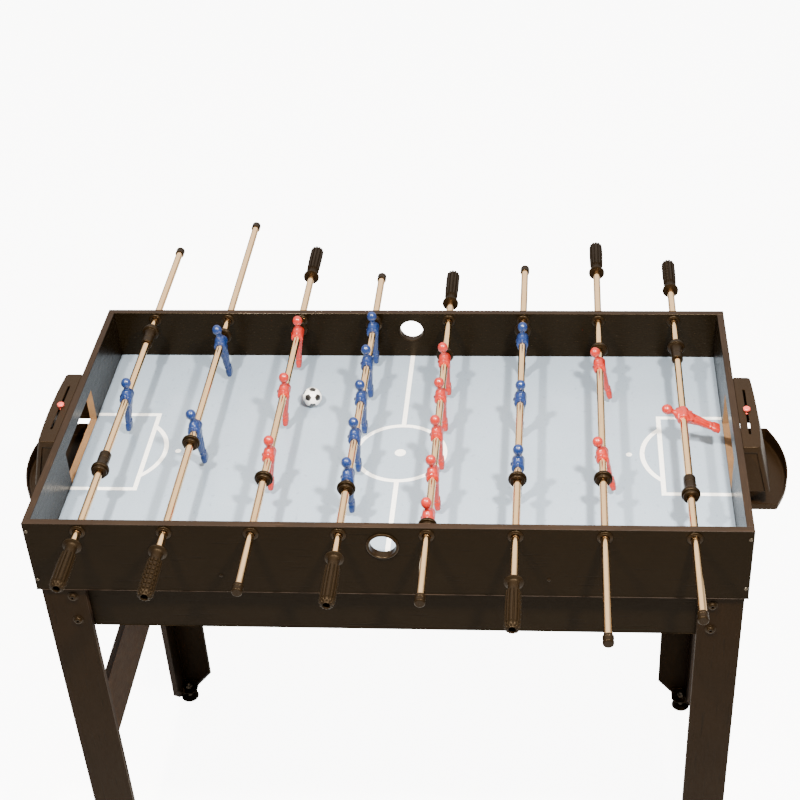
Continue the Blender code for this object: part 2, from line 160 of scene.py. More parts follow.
# The middle of a man's head above the rod, its half height, and the boss round the rod
HEAD_PLACE = 0.0290
HEAD_R = 0.0097
BOSS_R = 0.0104

# How the ball lies, in degrees about x, y and z
BALL_TURN = (62, 171, 3)

# How far each grip is turned on its rod, in degrees
GRIP_TURNS = (0, 165, 10, -8, 15, -25, 0, 150)

ENDS = (("left", -1), ("right", 1))
SIDES = (("near", -1), ("far", 1))


def size(name, default, description):
    return FloatProperty(name=name, default=default, description=description, unit="LENGTH", precision=4)


def colour(name, default, description):
    return FloatVectorProperty(
        name=name, default=default, description=description, subtype="COLOR", min=0.0, max=1.0
    )


def power(name, default, description):
    return FloatProperty(name=name, default=default, min=0.0, unit="POWER", description=description)


class FoosballSizes(bpy.types.PropertyGroup):
    """Sizes that the CAD leaves open."""

    board_edge: size("Board edge", 0.0008, "Radius of the edges of the coated boards")
    line_width: size("Line width", 0.0078, "Width of the painted lines on the field")
    line_height: size("Line height", 0.00018, "How far the painted lines stand above the field")
    circle_radius: size("Centre circle", 0.076, "Radius of the middle of the centre circle's line")
    spot_radius: size("Centre spot", 0.0095, "Radius of the spot in the centre circle")
    box_reach: size("Penalty box reach", 0.4385, "Distance from the centre to a penalty box's front")
    box_half_width: size("Penalty box half width", 0.104, "Half the width of a penalty box")
    arc_radius: size("Penalty arc", 0.0935, "Radius of the arc in front of a penalty box")
    man_detail: size("Men's detail", 0.0008, "Size of the smallest detail moulded into the men")
    grip_ribs: IntProperty(
        name="Grip ribs", default=12, min=6, max=20, description="Ribs round a grip"
    )
    grip_rows: IntProperty(
        name="Grip rows", default=7, min=3, max=12, description="Rows of blocks on a grip"
    )
    rib_height: size("Rib height", 0.0026, "How far a grip's blocks stand above its core")


class FoosballColours(bpy.types.PropertyGroup):
    """Colours of the finishes."""

    board: colour("Board", (0.0037, 0.0022, 0.0007), "Coating of the cabinet's boards")
    # Partly real banding, partly painted light: the band's paler tone stands in for light falling on the
    # boards' tops
    band: colour("Edge band", (0.0150, 0.0082, 0.0042), "Banding along the edges of the boards")
    leg: colour("Legs", (0.0064, 0.0030, 0.0008), "Coating of the legs")
    # Painted light: the stretchers get a much paler copy of the boards' coating, as if lit from their
    # side
    stretcher: colour("Stretchers", (0.032, 0.0135, 0.0030), "Coating of the boards between the legs")
    raw_board: colour("Fibreboard", (0.36, 0.20, 0.09), "Bare fibreboard in the goal mouths")
    field: colour("Field", (0.255, 0.318, 0.390), "Print on the field")
    line: colour("Lines", (0.93, 0.93, 0.90), "Paint of the lines")
    # Painted reflection: the rods' warm orange tone stands in for warm lamp light reflected in the
    # chrome
    steel: colour("Rods", (1.0, 0.64, 0.33), "Plated steel of the rods")
    blue: colour("Blue team", (0.0036, 0.0175, 0.088), "Plastic of the blue men")
    red: colour("Red team", (0.30, 0.012, 0.006), "Plastic of the red men")
    plastic: colour("Goal boxes", (0.0100, 0.0048, 0.0016), "Plastic of the goal boxes and scoops")
    rubber: colour("Grips", (0.0056, 0.0030, 0.0010), "Rubber of the grips and stop rings")
    score: colour("Score beads", (0.62, 0.07, 0.05), "Plastic of the score beads")
    zinc: colour("Screws", (0.13, 0.11, 0.085), "Plating of the screws and bolts")
    ball: colour("Ball", (0.82, 0.81, 0.77), "White panels of the ball")


class FoosballStage(bpy.types.PropertyGroup):
    """The floor and the lights."""

    floor: colour("Floor", (0.80, 0.79, 0.77), "Colour of the plain floor")
    glow: FloatProperty(
        name="Floor glow", default=9.0, min=0.0, description="How bright the floor looks"
    )
    soft_power: power("Soft light", 22.0, "Power of the light overhead")
    lamp_power: power("Lamps", 116.0, "Power of each smaller lamp")
    back_power: power("Back light", 55.0, "Power of the light behind")
    lamp_size: size("Lamp size", 0.11, "Side of each smaller lamp")
    sky: FloatProperty(name="Surroundings", default=0.62, min=0.0, description="Light from all round")


# Finishes

# The dark finishes reflect a little warmer than they receive
WARM = (1.0, 0.74, 0.48, 1.0)


def add_node(tree, kind, settings=None, **inputs):
    """A node with its settings and inputs. An input is a value, or a socket to link to it."""
    made = tree.nodes.new(kind)
    for key, value in (settings or {}).items():
        setattr(made, key, value)
    for key, value in inputs.items():
        put(tree, made.inputs[key.replace("_", " ")], value)
    return made


def put(tree, socket, value):
    if isinstance(value, bpy.types.NodeSocket):
        tree.links.new(value, socket)
    else:
        socket.default_value = value


def pattern(tree, per_metre, detail=4.0, roughness=0.55):
    """A noise on the piece's own coordinates, with that many waves per metre along x, y and z."""
    place = add_node(tree, "ShaderNodeTexCoord").outputs["Object"]
    scaled = add_node(tree, "ShaderNodeMapping", Vector=place, Scale=per_metre).outputs["Vector"]
    noise = add_node(
        tree, "ShaderNodeTexNoise", Vector=scaled, Scale=1.0, Detail=detail, Roughness=roughness
    )
    return noise.outputs["Fac"]


def spread(tree, value, low, high, to_low=0.0, to_high=1.0):
    """The value stretched from one range to another, and held inside it."""
    made = add_node(tree, "ShaderNodeMapRange", Value=value)
    made.inputs["From Min"].default_value = low
    made.inputs["From Max"].default_value = high
    made.inputs["To Min"].default_value = to_low
    made.inputs["To Max"].default_value = to_high
    return made.outputs["Result"]


def mixed(tree, factor, first, second):
    """One colour over another, by a factor."""
    made = add_node(tree, "ShaderNodeMix", {"data_type": "RGBA"})
    put(tree, made.inputs[0], factor)
    put(tree, made.inputs[6], first)
    put(tree, made.inputs[7], second)
    return made.outputs[2]


def sum_of(tree, first, second, share):
    """The first value, plus a share of the second."""
    made = add_node(tree, "ShaderNodeMath", {"operation": "MULTIPLY_ADD"})
    put(tree, made.inputs[0], second)
    made.inputs[1].default_value = share
    put(tree, made.inputs[2], first)
    return made.outputs[0]


def shaded(tone, factor):
    return (*[min(1.0, channel * factor) for channel in tone], 1.0)


def finish(name, tone, gloss, grain, relief, mottle, marks, **shader_values):
    """A finish with a mottled colour, an uneven gloss and a fine relief.

    gloss is the lowest and highest roughness, grain the waves of the fine pattern per metre, relief
    its height in metres, and marks the colour, waves per metre, and share of scattered small marks.
    """
    found = bpy.data.materials.get(name)
    if found:
        return found
    made = bpy.data.materials.new(name)
    made.use_nodes = True
    tree = made.node_tree
    shader = tree.nodes["Principled BSDF"]
    for key, value in shader_values.items():
        shader.inputs[key.replace("_", " ")].default_value = value
    fine = pattern(tree, grain, detail=5.0, roughness=0.6)
    cloudy = pattern(tree, (13.0, 11.0, 12.0), detail=3.0)
    blend = spread(tree, sum_of(tree, cloudy, fine, 0.8), 0.62, 1.18)
    look = mixed(tree, blend, shaded(tone, 1.0 - mottle), shaded(tone, 1.0 + mottle))
    mark_tone, per_metre, share = marks
    spots = spread(tree, pattern(tree, per_metre, detail=2.0), 0.70 - share, 0.74 - share)
    put(tree, shader.inputs["Base Color"], mixed(tree, spots, look, (*mark_tone, 1.0)))
    rough = spread(tree, pattern(tree, [2.3 * wave for wave in grain]), 0.3, 0.7, *gloss)
    put(tree, shader.inputs["Roughness"], rough)
    height = sum_of(tree, fine, spots, -0.8)
    bump = add_node(tree, "ShaderNodeBump", Height=height, Distance=relief, Strength=1.0)
    put(tree, shader.inputs["Normal"], bump.outputs["Normal"])
    return made


def colours():
    return bpy.context.scene.foosball_colours


def sizes():
    return bpy.context.scene.foosball_sizes


def waves(across, lengthwise, along):
    """Waves per metre of a grain that runs along x, y or z."""
    return [lengthwise if axis == along else across for axis in "xyz"]


def board_finish(along, kind="board"):
    """Coated board with the pores of the printed wood running along x, y or z."""
    # For the stretchers this tone is painted light, a paler copy of the board coating
    tone = getattr(colours(), kind)
    marks = ([channel * 0.62 for channel in tone], waves(240.0, 11.0, along), 0.06)
    grain = waves(620.0, 22.0, along)
    shine = {"Specular_IOR_Level": 0.12 if kind == "stretcher" else 0.08, "Specular_Tint": WARM}
    return finish(f"{kind}_coating_{along}", tone, (0.36, 0.56), grain, 0.00010, 0.16, marks, **shine)


def inside_finish(along):
    """The same coating on the walls of the field, wiped to a gloss."""
    tone = colours().board
    marks = ([channel * 0.5 for channel in tone], waves(1000.0, 36.0, along), 0.06)
    grain = waves(500.0, 18.0, along)
    shine = {
        "Specular_IOR_Level": 0.12,
        "Specular_Tint": WARM,
        "Coat_Weight": 0.03,
        "Coat_Roughness": 0.16,
    }
    return finish(f"inside_coating_{along}", tone, (0.22, 0.36), grain, 0.00004, 0.14, marks, **shine)


def band_and_top_light_finish(along):
    """Thin banding glued along a board's edge, paler where rubbed, its pale tone partly painted light.
    """
    tone = colours().band
    marks = ([channel * 1.7 for channel in tone], waves(350.0, 15.0, along), 0.07)
    grain = waves(700.0, 30.0, along)
    shine = {"Specular_IOR_Level": 0.14}
    return finish(f"edge_band_{along}", tone, (0.40, 0.60), grain, 0.00010, 0.24, marks, **shine)


def man_finish(team):
    """Moulded plastic, with slight flow marks and a few scuffs."""
    tone = getattr(colours(), team)
    scuffs = ([0.6 * channel + 0.12 for channel in tone], (800.0, 800.0, 420.0), 0.03)
    grain = (260.0, 320.0, 150.0)
    shine = {"Coat_Weight": 0.22, "Coat_Roughness": 0.15}
    return finish(f"man_plastic_{team}", tone, (0.24, 0.42), grain, 0.00008, 0.14, scuffs, **shine)


def ball_finish(dark):
    """The ball's plastic, white or black, with scuffs."""
    tone = (0.004, 0.004, 0.0038) if dark else colours().ball
    name = "ball_black" if dark else "ball_white"
    scuffs = ([0.5 * channel + 0.12 for channel in tone], (420.0, 420.0, 420.0), 0.05)
    grain = (900.0, 900.0, 900.0)
    return finish(name, tone, (0.28, 0.44), grain, 0.00006, 0.08, scuffs, Coat_Weight=0.2)


# The finishes that are the same wherever they are used. Each has its colour, gloss, grain, relief and
# mottle, then for its marks the part of the colour kept, the grey added, the waves per metre and the
# share, then the values of its shader.
PLAIN_FINISHES = {
    "bare_fibreboard": (
        ("raw_board", (0.75, 0.92), (900.0, 900.0, 1700.0), 0.0003, 0.3),
        (0.45, 0.0, (900.0, 900.0, 1500.0), 0.12),
        {},
    ),
    "field_print": (
        ("field", (0.24, 0.36), (420.0, 460.0, 400.0), 0.00003, 0.045),
        (0.86, 0.0, (130.0, 95.0, 100.0), 0.04),
        {"Specular_IOR_Level": 0.45, "Coat_Weight": 0.35, "Coat_Roughness": 0.09},
    ),
    "line_paint": (
        ("line", (0.30, 0.45), (800.0, 760.0, 700.0), 0.00004, 0.05),
        (0.72, 0.0, (320.0, 300.0, 300.0), 0.06),
        {"Coat_Weight": 0.2},
    ),
    # Fine rings from polishing, and a few scratches along the tube
    # Its warm tone is painted reflection of the warm lamps
    "rod_plating": (
        ("steel", (0.10, 0.22), (35.0, 1500.0, 35.0), 0.000012, 0.05),
        (0.55, 0.0, (900.0, 14.0, 900.0), 0.03),
        {"Metallic": 1.0},
    ),
    "screw_zinc": (
        ("zinc", (0.24, 0.46), (1500.0, 1500.0, 1500.0), 0.00005, 0.2),
        (0.4, 0.0, (1100.0, 1100.0, 1100.0), 0.08),
        {"Metallic": 1.0},
    ),
    # Black-brown plastic from a spark-eroded mould
    "moulded_plastic": (
        ("plastic", (0.30, 0.48), (1400.0, 1400.0, 1400.0), 0.00012, 0.20),
        (1.8, 0.003, (650.0, 650.0, 650.0), 0.04),
        {"Specular_IOR_Level": 0.17, "Specular_Tint": WARM},
    ),
    # Soft black rubber, dusty in its pores
    "grip_rubber": (
        ("rubber", (0.38, 0.60), (1700.0, 1700.0, 1700.0), 0.00012, 0.25),
        (2.2, 0.002, (500.0, 420.0, 500.0), 0.06),
        {"Specular_IOR_Level": 0.16, "Specular_Tint": WARM},
    ),
    # Harder, shinier rubber of the stop rings, bushings and caps
    "ring_rubber": (
        ("rubber", (0.26, 0.42), (1200.0, 1200.0, 1200.0), 0.00008, 0.2),
        (2.0, 0.002, (700.0, 700.0, 700.0), 0.05),
        {"Specular_IOR_Level": 0.18, "Specular_Tint": WARM},
    ),
    "score_plastic": (
        ("score", (0.28, 0.42), (1100.0, 1100.0, 1100.0), 0.00006, 0.15),
        (0.5, 0.3, (900.0, 900.0, 900.0), 0.04),
        {},
    ),
}


def plain_finish(name):
    """A finish from the list above."""
    (key, *ground), (kept, grey, per_metre, share), shine = PLAIN_FINISHES[name]
    tone = getattr(colours(), key)
    marks = ([kept * channel + grey for channel in tone], per_metre, share)
    return finish(name, tone, *ground, marks, **shine)


# Meshes


def mesh_from(bm, name="mesh", smooth=None):
    """The mesh, with faces smoothed across edges that turn less than an angle in degrees."""
    bmesh.ops.recalc_face_normals(bm, faces=bm.faces)
    mesh = bpy.data.meshes.new(name)
    bm.to_mesh(mesh)
    bm.free()
    if smooth:
        smoothed(mesh, smooth)
    return mesh


def smoothed(mesh, angle):
    mesh.shade_smooth()
    mesh.set_sharp_from_angle(angle=math.radians(angle))
    return mesh


def take_in(bm, mesh):
    """Adds a mesh to the one that is being edited, and throws it away."""
    bm.from_mesh(mesh)
    bpy.data.meshes.remove(mesh)


def bm_of(mesh):
    """The mesh opened for editing, and thrown away."""
    bm = bmesh.new()
    take_in(bm, mesh)
    return bm


def add_skin(bm, rings, closed=False):
    """Faces through rings of points. The two end rings are capped, or joined where it is closed."""
    loops = [[bm.verts.new(point) for point in ring] for ring in rings]
    pairs = list(zip(loops, loops[1:]))
    if closed:
        pairs.append((loops[-1], loops[0]))
    else:
        bm.faces.new(loops[0])
        bm.faces.new(loops[-1])
    for lower, upper in pairs:
        for i in range(len(lower)):
            j = (i + 1) % len(lower)
            bm.faces.new((lower[i], lower[j], upper[j], upper[i]))


def skin(rings, closed=False, smooth=None):
    bm = bmesh.new()
    add_skin(bm, rings, closed)
    return mesh_from(bm, smooth=smooth)


def box_rings(low, high):
    return [
        [(low[0], low[1], z), (high[0], low[1], z), (high[0], high[1], z), (low[0], high[1], z)]
        for z in (low[2], high[2])
    ]


def round_edges(bm, width, segments=2, angle=30.0):
    """Rounds the edges that turn more than the angle."""
    bm.normal_update()
    limit = math.radians(angle)
    edges = [edge for edge in bm.edges if edge.is_manifold and edge.calc_face_angle(0.0) > limit]
    bmesh.ops.bevel(
        bm, geom=edges, offset=width, segments=segments, profile=0.5, affect="EDGES", clamp_overlap=True
    )


def worked(mesh, *steps):
    """The mesh after a row of modifiers, each a kind and its settings."""
    holder = bpy.data.objects.new("work", mesh)
    bpy.context.scene.collection.objects.link(holder)
    for kind, settings in steps:
        modifier = holder.modifiers.new(kind.title(), kind)
        for key, value in settings.items():
            setattr(modifier, key, value)
    graph = bpy.context.evaluated_depsgraph_get()
    made = bpy.data.meshes.new_from_object(holder.evaluated_get(graph))
    bpy.data.objects.remove(holder)
    bpy.data.meshes.remove(mesh)
    return made


def carved(mesh, cutter):
    """The mesh with the cutter's shape taken away."""
    tool = bpy.data.objects.new("cutter", cutter)
    bpy.context.scene.collection.objects.link(tool)
    settings = {"object": tool, "operation": "DIFFERENCE", "solver": "EXACT"}
    made = worked(mesh, ("BOOLEAN", settings))
    bpy.data.objects.remove(tool)
    bpy.data.meshes.remove(cutter)
    return made


def with_even_shading(mesh):
    return worked(mesh, ("WEIGHTED_NORMAL", {"keep_sharp": True}))


def board(low, high, edge=None):
    """A board with its edges rounded."""
    bm = bmesh.new()
    add_skin(bm, box_rings(low, high))
    round_edges(bm, sizes().board_edge if edge is None else edge, segments=3)
    return mesh_from(bm)


def paint(mesh, index, picks):
    """Gives a finish, by its place in the piece's list, to the faces that picks chooses."""
    for face in mesh.polygons:
        if picks(face.center, face.normal):
            face.material_index = index


def circle(radius, sides, place, axis):
    """A ring of points about a place, square to the Y or Z axis."""
    points = []
    for i in range(sides):
        turn = 2 * math.pi * i / sides
        u, v = radius * math.cos(turn), radius * math.sin(turn)
        offset = Vector((u, 0.0, v)) if axis == "Y" else Vector((u, v, 0.0))
        points.append(Vector(place) + offset)
    return points


def rounded(profile, radius, closed):
    """The profile with rounded corners, and a point kept beside each so that flats stay flat."""
    steps = (0.0, 0.3, 0.7, 1.0)
    points = [Vector(point) for point in profile]
    count = len(points)
    made = []
    for i, point in enumerate(points):
        if not closed and i in (0, count - 1):
            made.append(point)
            continue
        before = points[i - 1] - point
        after = points[(i + 1) % count] - point
        if before.angle(after, math.pi) > math.radians(160):
            made.append(point)
            continue
        cut = min(radius, 0.35 * before.length, 0.35 * after.length)
        start = point + before.normalized() * cut
        end = point + after.normalized() * cut
        made.append(point + before.normalized() * cut * 1.35)
        made += [start.lerp(point, t).lerp(point.lerp(end, t), t) for t in steps]
        made.append(point + after.normalized() * cut * 1.35)
    return made


def turned(profile, radius=0.0005, sides=32, axis="Y", closed=False):
    """A turned piece. The profile gives places along the axis, and the radius at each."""
    rings = []
    for along, distance in rounded(profile, radius, closed):
        place = (0.0, along, 0.0) if axis == "Y" else (0.0, 0.0, along)
        rings.append(circle(distance, sides, place, axis))
    return skin(rings, closed, smooth=60)


def copies(mesh, places):
    """One mesh that holds a copy of the given one at each place, a 4x4 matrix."""
    bm = bmesh.new()
    for place in places:
        before = set(bm.verts)
        bm.from_mesh(mesh)
        fresh = [vert for vert in bm.verts if vert not in before]
        bmesh.ops.transform(bm, matrix=place, verts=fresh)
    smooth = [face.use_smooth for face in mesh.polygons]
    bpy.data.meshes.remove(mesh)
    made = mesh_from(bm)
    if all(smooth):
        smoothed(made, 45)
    return made


def add_piece(name, mesh, body, finishes, place=(0, 0, 0), swing=0.0, stands_for=()):
    """A piece in its place, riding on a CAD body, with its finishes."""
    piece = bpy.data.objects.new(name, mesh)
    piece.location = RIM + Vector(place)
    piece.rotation_euler = (0.0, -math.radians(swing), 0.0)
    bpy.context.scene.collection.objects.link(piece)
    if not mesh.materials:
        for made in finishes:
            mesh.materials.append(made)
    for index, made in enumerate(finishes):
        if mesh.materials[index] != made:
            piece.material_slots[index].link = "OBJECT"
            piece.material_slots[index].material = made
    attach(piece, body)
    if stands_for:
        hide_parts(*stands_for)
    return piece


# The cabinet


def side_panel(word, side):
    """A long panel, with holes for the rods' bushings and for serving the ball."""
    outer = side * HALF_WIDTH
    inner = outer - side * BOARD
    low = (-HALF_LENGTH, min(inner, outer), PANEL_BOTTOM)
    high = (HALF_LENGTH, max(inner, outer), 0.0)
    holes = bmesh.new()
    ends = (inner - side * OVERCUT, outer + side * OVERCUT)
    for rod in ROD_NUMBERS:
        x, _, z = rod_middle(rod)
        add_skin(holes, [circle(BUSHING_HOLE_R, 24, (x, y, z), "Y") for y in ends])
    add_skin(holes, [circle(SERVE_HOLE_R, 48, (SERVE.x, y, SERVE.z), "Y") for y in ends])
    mesh = carved(board(low, high), mesh_from(holes))
    # The tops and ends get the band's paler tone, partly painted light from above
    paint(mesh, 1, lambda centre, normal: normal.z > 0.5 or abs(normal.x) > 0.7)
    paint(mesh, 2, lambda centre, normal: side * normal.y < -0.7)
    finishes = (board_finish("x"), band_and_top_light_finish("x"), inside_finish("x"))
    name = f"long_panel_{word}"
    add_piece(name, mesh, "cabinet", finishes, stands_for=[f"side_panel_{word}"])


def end_panel(word, end):
    """An end panel, with the goal mouth cut down to the field and left bare inside."""
    low, high = box_from_rim(f"end_panel_{word}")
    mouth_low = (low.x - OVERCUT, -GOAL_HALF_WIDTH, FIELD_TOP)
    mouth_high = (high.x + OVERCUT, GOAL_HALF_WIDTH, GOAL_TOP)
    mesh = carved(board(low, high), skin(box_rings(mouth_low, mouth_high)))
    # The top gets the band's paler tone, partly painted light from above
    paint(mesh, 1, lambda centre, normal: normal.z > 0.5)
    paint(mesh, 2, lambda centre, normal: end * normal.x < -0.7)

    def in_mouth(centre, normal):
        within = abs(centre.y) < GOAL_HALF_WIDTH + 0.0005 and FIELD_TOP - 0.0005 < centre.z
        return within and centre.z < GOAL_TOP + 0.0005 and abs(normal.x) < 0.5

    paint(mesh, 3, in_mouth)
    bare = plain_finish("bare_fibreboard")
    finishes = (board_finish("y"), band_and_top_light_finish("y"), inside_finish("y"), bare)
    name = f"short_panel_{word}"
    add_piece(name, mesh, "cabinet", finishes, stands_for=[f"end_panel_{word}"])


def rod_middle(rod):
    """The point on a rod's middle line where the middle of its men is."""
    low, high = box_from_rim(f"bumper_near_{rod}")
    middle = (low + high) / 2
    middle.y = RODS[rod - 1][3]
    return middle


def field_board():
    low, high = box_from_rim("playfield")
    mesh = board(low, high, edge=0.0004)
    paint(mesh, 1, lambda centre, normal: normal.z < 0.5)
    finishes = (plain_finish("field_print"), plain_finish("bare_fibreboard"))
    add_piece("field_board", mesh, "cabinet", finishes, stands_for=["playfield"])


def add_strip(bm, low, high, height):
    add_skin(bm, box_rings((*low, FIELD_TOP), (*high, FIELD_TOP + height)))


def add_ring(bm, middle, radius, width, height, start=0, end=360, steps=96):
    """A painted ring or arc of that width, flat on the field."""
    corners = ((-0.5, 0.0), (0.5, 0.0), (0.5, 1.0), (-0.5, 1.0))
    whole = end - start >= 360
    rings = []
    for i in range(steps + (0 if whole else 1)):
        turn = math.radians(start + (end - start) * i / steps)
        ring = []
        for across, up in corners:
            reach = radius + across * width
            x = middle[0] + reach * math.cos(turn)
            y = middle[1] + reach * math.sin(turn)
            ring.append((x, y, FIELD_TOP + up * height))
        rings.append(ring)
    add_skin(bm, rings, closed=whole)


def field_lines():
    """The centre line, circle and spot, and the penalty boxes with their arcs and spots."""
    given = sizes()
    width, height = given.line_width, given.line_height
    middle = (SERVE.x, 0.0)
    half = HALF_WIDTH - BOARD - 2 * FIT_GAP
    wall = HALF_LENGTH - BOARD - 2 * FIT_GAP
    bm = bmesh.new()
    start = given.circle_radius + width * 0.3
    for side in (-1, 1):
        y = sorted((side * start, side * half))
        add_strip(bm, (middle[0] - width / 2, y[0]), (middle[0] + width / 2, y[1]), height * 0.9)
    add_ring(bm, middle, given.circle_radius, width, height)
    spot = [circle(given.spot_radius, 40, (*middle, FIELD_TOP + up), "Z") for up in (0.0, height)]
    add_skin(bm, spot)
    for end in (-1, 1):
        front = end * given.box_reach
        edge = given.box_half_width
        add_strip(bm, (front - width / 2, -edge), (front + width / 2, edge), height)
        for side in (-1, 1):
            x = sorted((front - end * width / 2, end * wall))
            y = sorted((side * (edge - width / 2), side * (edge + width / 2)))
            add_strip(bm, (x[0], y[0]), (x[1], y[1]), height * 0.9)
        centre = (front + end * ARC_SET_BACK, 0.0)
        aim = 180 if end > 0 else 0
        lean = math.degrees(math.acos(ARC_SET_BACK / given.arc_radius)) + 1.0
        arc = (centre, given.arc_radius, width, height * 0.85)
        add_ring(bm, *arc, start=aim - lean, end=aim + lean, steps=40)
        dot = (end * DOT_REACH, 0.0)
        ends = (FIELD_TOP, FIELD_TOP + height)
        add_skin(bm, [circle(DOT_R, 28, (*dot, z), "Z") for z in ends])
    mesh = mesh_from(bm)
    add_piece("field_lines", mesh, "cabinet", (plain_finish("line_paint"),))


def under_boards():
    """The frame under the field, and the board between the legs at each end."""
    for word, along in (("near", "x"), ("far", "x"), ("left", "y"), ("right", "y")):
        mesh = board(*box_from_rim(f"apron_{word}"))
        paint(mesh, 1, lambda centre, normal: normal.z < -0.5)
        finishes = (board_finish(along), band_and_top_light_finish(along))
        name = f"under_board_{word}"
        add_piece(name, mesh, "cabinet", finishes, stands_for=[f"apron_{word}"])
    for word, _ in ENDS:
        mesh = board(*box_from_rim(f"stretcher_{word}"))
        paint(mesh, 1, lambda centre, normal: abs(normal.z) > 0.5)
        # The stretchers' paler tone is painted light falling on them
        finishes = (board_finish("y", "stretcher"), band_and_top_light_finish("y"))
        name = f"tie_board_{word}"
        add_piece(name, mesh, "cabinet", finishes, stands_for=[f"stretcher_{word}"])


def corner_point(end, side, u, v, z):
    """A point that lies u inwards along the table and v across it from a leg's outer edge."""
    return (end * (HALF_LENGTH - LEG_INSET - u), side * (HALF_WIDTH - LEG_INSET - v), z)


def leg(word, end, place, side):
    """An angle-section leg, cut away inside its bottom corner."""
    wall = BOARD - FIT_GAP
    outline = (
        (0, 0),
        (LEG_WIDTH, 0),
        (LEG_WIDTH, wall),
        (wall, wall),
        (wall, LEG_WIDTH),
        (0, LEG_WIDTH),
    )
    tops = (LEG_BOTTOM, PANEL_BOTTOM - FIT_GAP)
    bm = bmesh.new()
    add_skin(bm, [[corner_point(end, side, u, v, z) for u, v in outline] for z in tops])
    round_edges(bm, sizes().board_edge, segments=3)
    wedge = (
        (LEG_CUT_START - OVERCUT / LEG_CUT_SLOPE, LEG_BOTTOM - OVERCUT),
        (LEG_CUT_REACH, LEG_BOTTOM - OVERCUT),
        (LEG_CUT_REACH, LEG_BOTTOM + (LEG_CUT_REACH - LEG_CUT_START) * LEG_CUT_SLOPE),
    )
    ends = (-LEG_WIDTH, LEG_WIDTH)
    rings = [[corner_point(end, side, s / 2 + t, s / 2 - t, z) for s, z in wedge] for t in ends]
    mesh = carved(mesh_from(bm), skin(rings))

    def is_edge(centre, normal):
        u = HALF_LENGTH - LEG_INSET - abs(centre.x)
        v = HALF_WIDTH - LEG_INSET - abs(centre.y)
        return abs(normal.z) > 0.2 or u > LEG_WIDTH - 0.0005 or v > LEG_WIDTH - 0.0005

    paint(mesh, 1, is_edge)
    finishes = (board_finish("z", "leg"), band_and_top_light_finish("z"))
    name = f"leg_boards_{word}_{place}"
    nodes = [f"leg_{word}_{place}"]
    add_piece(name, mesh, "cabinet", finishes, stands_for=nodes)


def leg_bracket(word, end, place, side):
    """A pressed plate in the leg's bottom corner, with turned-up sides and a hole for the foot."""
    inner = BOARD
    reach, rise, steel = 0.042, 0.016, 0.0022
    z = LEG_BOTTOM + BRACKET_HEIGHT + FIT_GAP
    corner = 0.010

    def outline(inset):
        points = [(inner + inset, inner + inset), (reach, inner + inset)]
        points += [(reach, reach - corner), (reach - corner, reach), (inner + inset, reach)]
        return points

    flat = [[corner_point(end, side, u, v, h) for u, v in outline(0.0)] for h in (z, z + steel)]
    bm = bmesh.new()
    add_skin(bm, flat)
    for turned_up in ((0, 1), (1, 0)):
        long, short = reach - 0.002, inner + steel
        u = (inner, long) if turned_up[0] else (inner, short)
        v = (inner, long) if turned_up[1] else (inner, short)
        square = ((u[0], v[0]), (u[1], v[0]), (u[1], v[1]), (u[0], v[1]))
        heights = (z + steel * 0.5, z + rise)
        add_skin(bm, [[corner_point(end, side, a, b, h) for a, b in square] for h in heights])
    plate = worked(
        mesh_from(bm),
        ("REMESH", {"mode": "VOXEL", "voxel_size": 0.0008}),
        ("SMOOTH", {"factor": 0.5, "iterations": 2}),
        ("DECIMATE", {"ratio": 0.25}),
    )
    middle = corner_point(end, side, FOOT_PLACE, FOOT_PLACE, z)
    ends = [(*middle[:2], z + step) for step in (-OVERCUT, 2 * OVERCUT)]
    plate = carved(plate, skin([circle(0.0056, 24, point, "Z") for point in ends]))
    smoothed(plate, 40)
    finishes = (plain_finish("ring_rubber"),)
    add_piece(f"leg_bracket_{word}_{place}", plate, "cabinet", finishes)


def foot_pad():
    """A levelling foot's disc, with a ribbed edge."""
    profile = (
        (0.0, 0.0006),
        (0.0, 0.0170),
        (0.0016, 0.0188),
        (0.0030, 0.0190),
        (0.0036, 0.0180),
        (0.0048, 0.0150),
        (0.0057, 0.0080),
        (0.0057, 0.0006),
    )
    return turned(profile, 0.0006, sides=40, axis="Z")


def foot_stud():
    """A levelling foot's threaded stud, with a nut below and above the bracket."""
    pitch, stem, root = 0.00125, 0.0044, 0.0038
    top = 0.0415
    profile = [(0.004, 0.0006), (0.004, root)]
    along = 0.0052
    while along < top - pitch:
        profile += [(along, root), (along + 0.4 * pitch, stem)]
        along += pitch
    profile += [(top - 0.0006, root), (top, 0.0030), (top, 0.0006)]
    bm = bmesh.new()
    add_skin(bm, [circle(reach, 20, (0.0, 0.0, z), "Z") for z, reach in profile])
    under = LEG_CLEARANCE + BRACKET_HEIGHT - FIT_GAP
    over = LEG_CLEARANCE + BRACKET_HEIGHT + 0.0035
    for low in (under - NUT_THICKNESS, over):
        nut = bmesh.new()
        heights = (low, low + NUT_THICKNESS)
        add_skin(nut, [circle(NUT_R, 6, (0.0, 0.0, z), "Z") for z in heights])
        round_edges(nut, 0.0006, 2)
        take_in(bm, mesh_from(nut))
    return mesh_from(bm, smooth=25)


def legs_and_feet():
    pad, stud = foot_pad(), foot_stud()
    for word, end in ENDS:
        for place, side in SIDES:
            leg(word, end, place, side)
            leg_bracket(word, end, place, side)
            foot = f"foot_{word}_{place}"
            node = f"levelling_foot_{word}_{place}"
            at = corner_point(end, side, FOOT_PLACE, FOOT_PLACE, FLOOR)
            name = f"foot_pad_{word}_{place}"
            rubber = (plain_finish("grip_rubber"),)
            add_piece(name, pad, foot, rubber, at, stands_for=[node])
            name = f"foot_stud_{word}_{place}"
            add_piece(name, stud, foot, (plain_finish("screw_zinc"),), at)


# The openings' linings, the goal boxes and the scoops


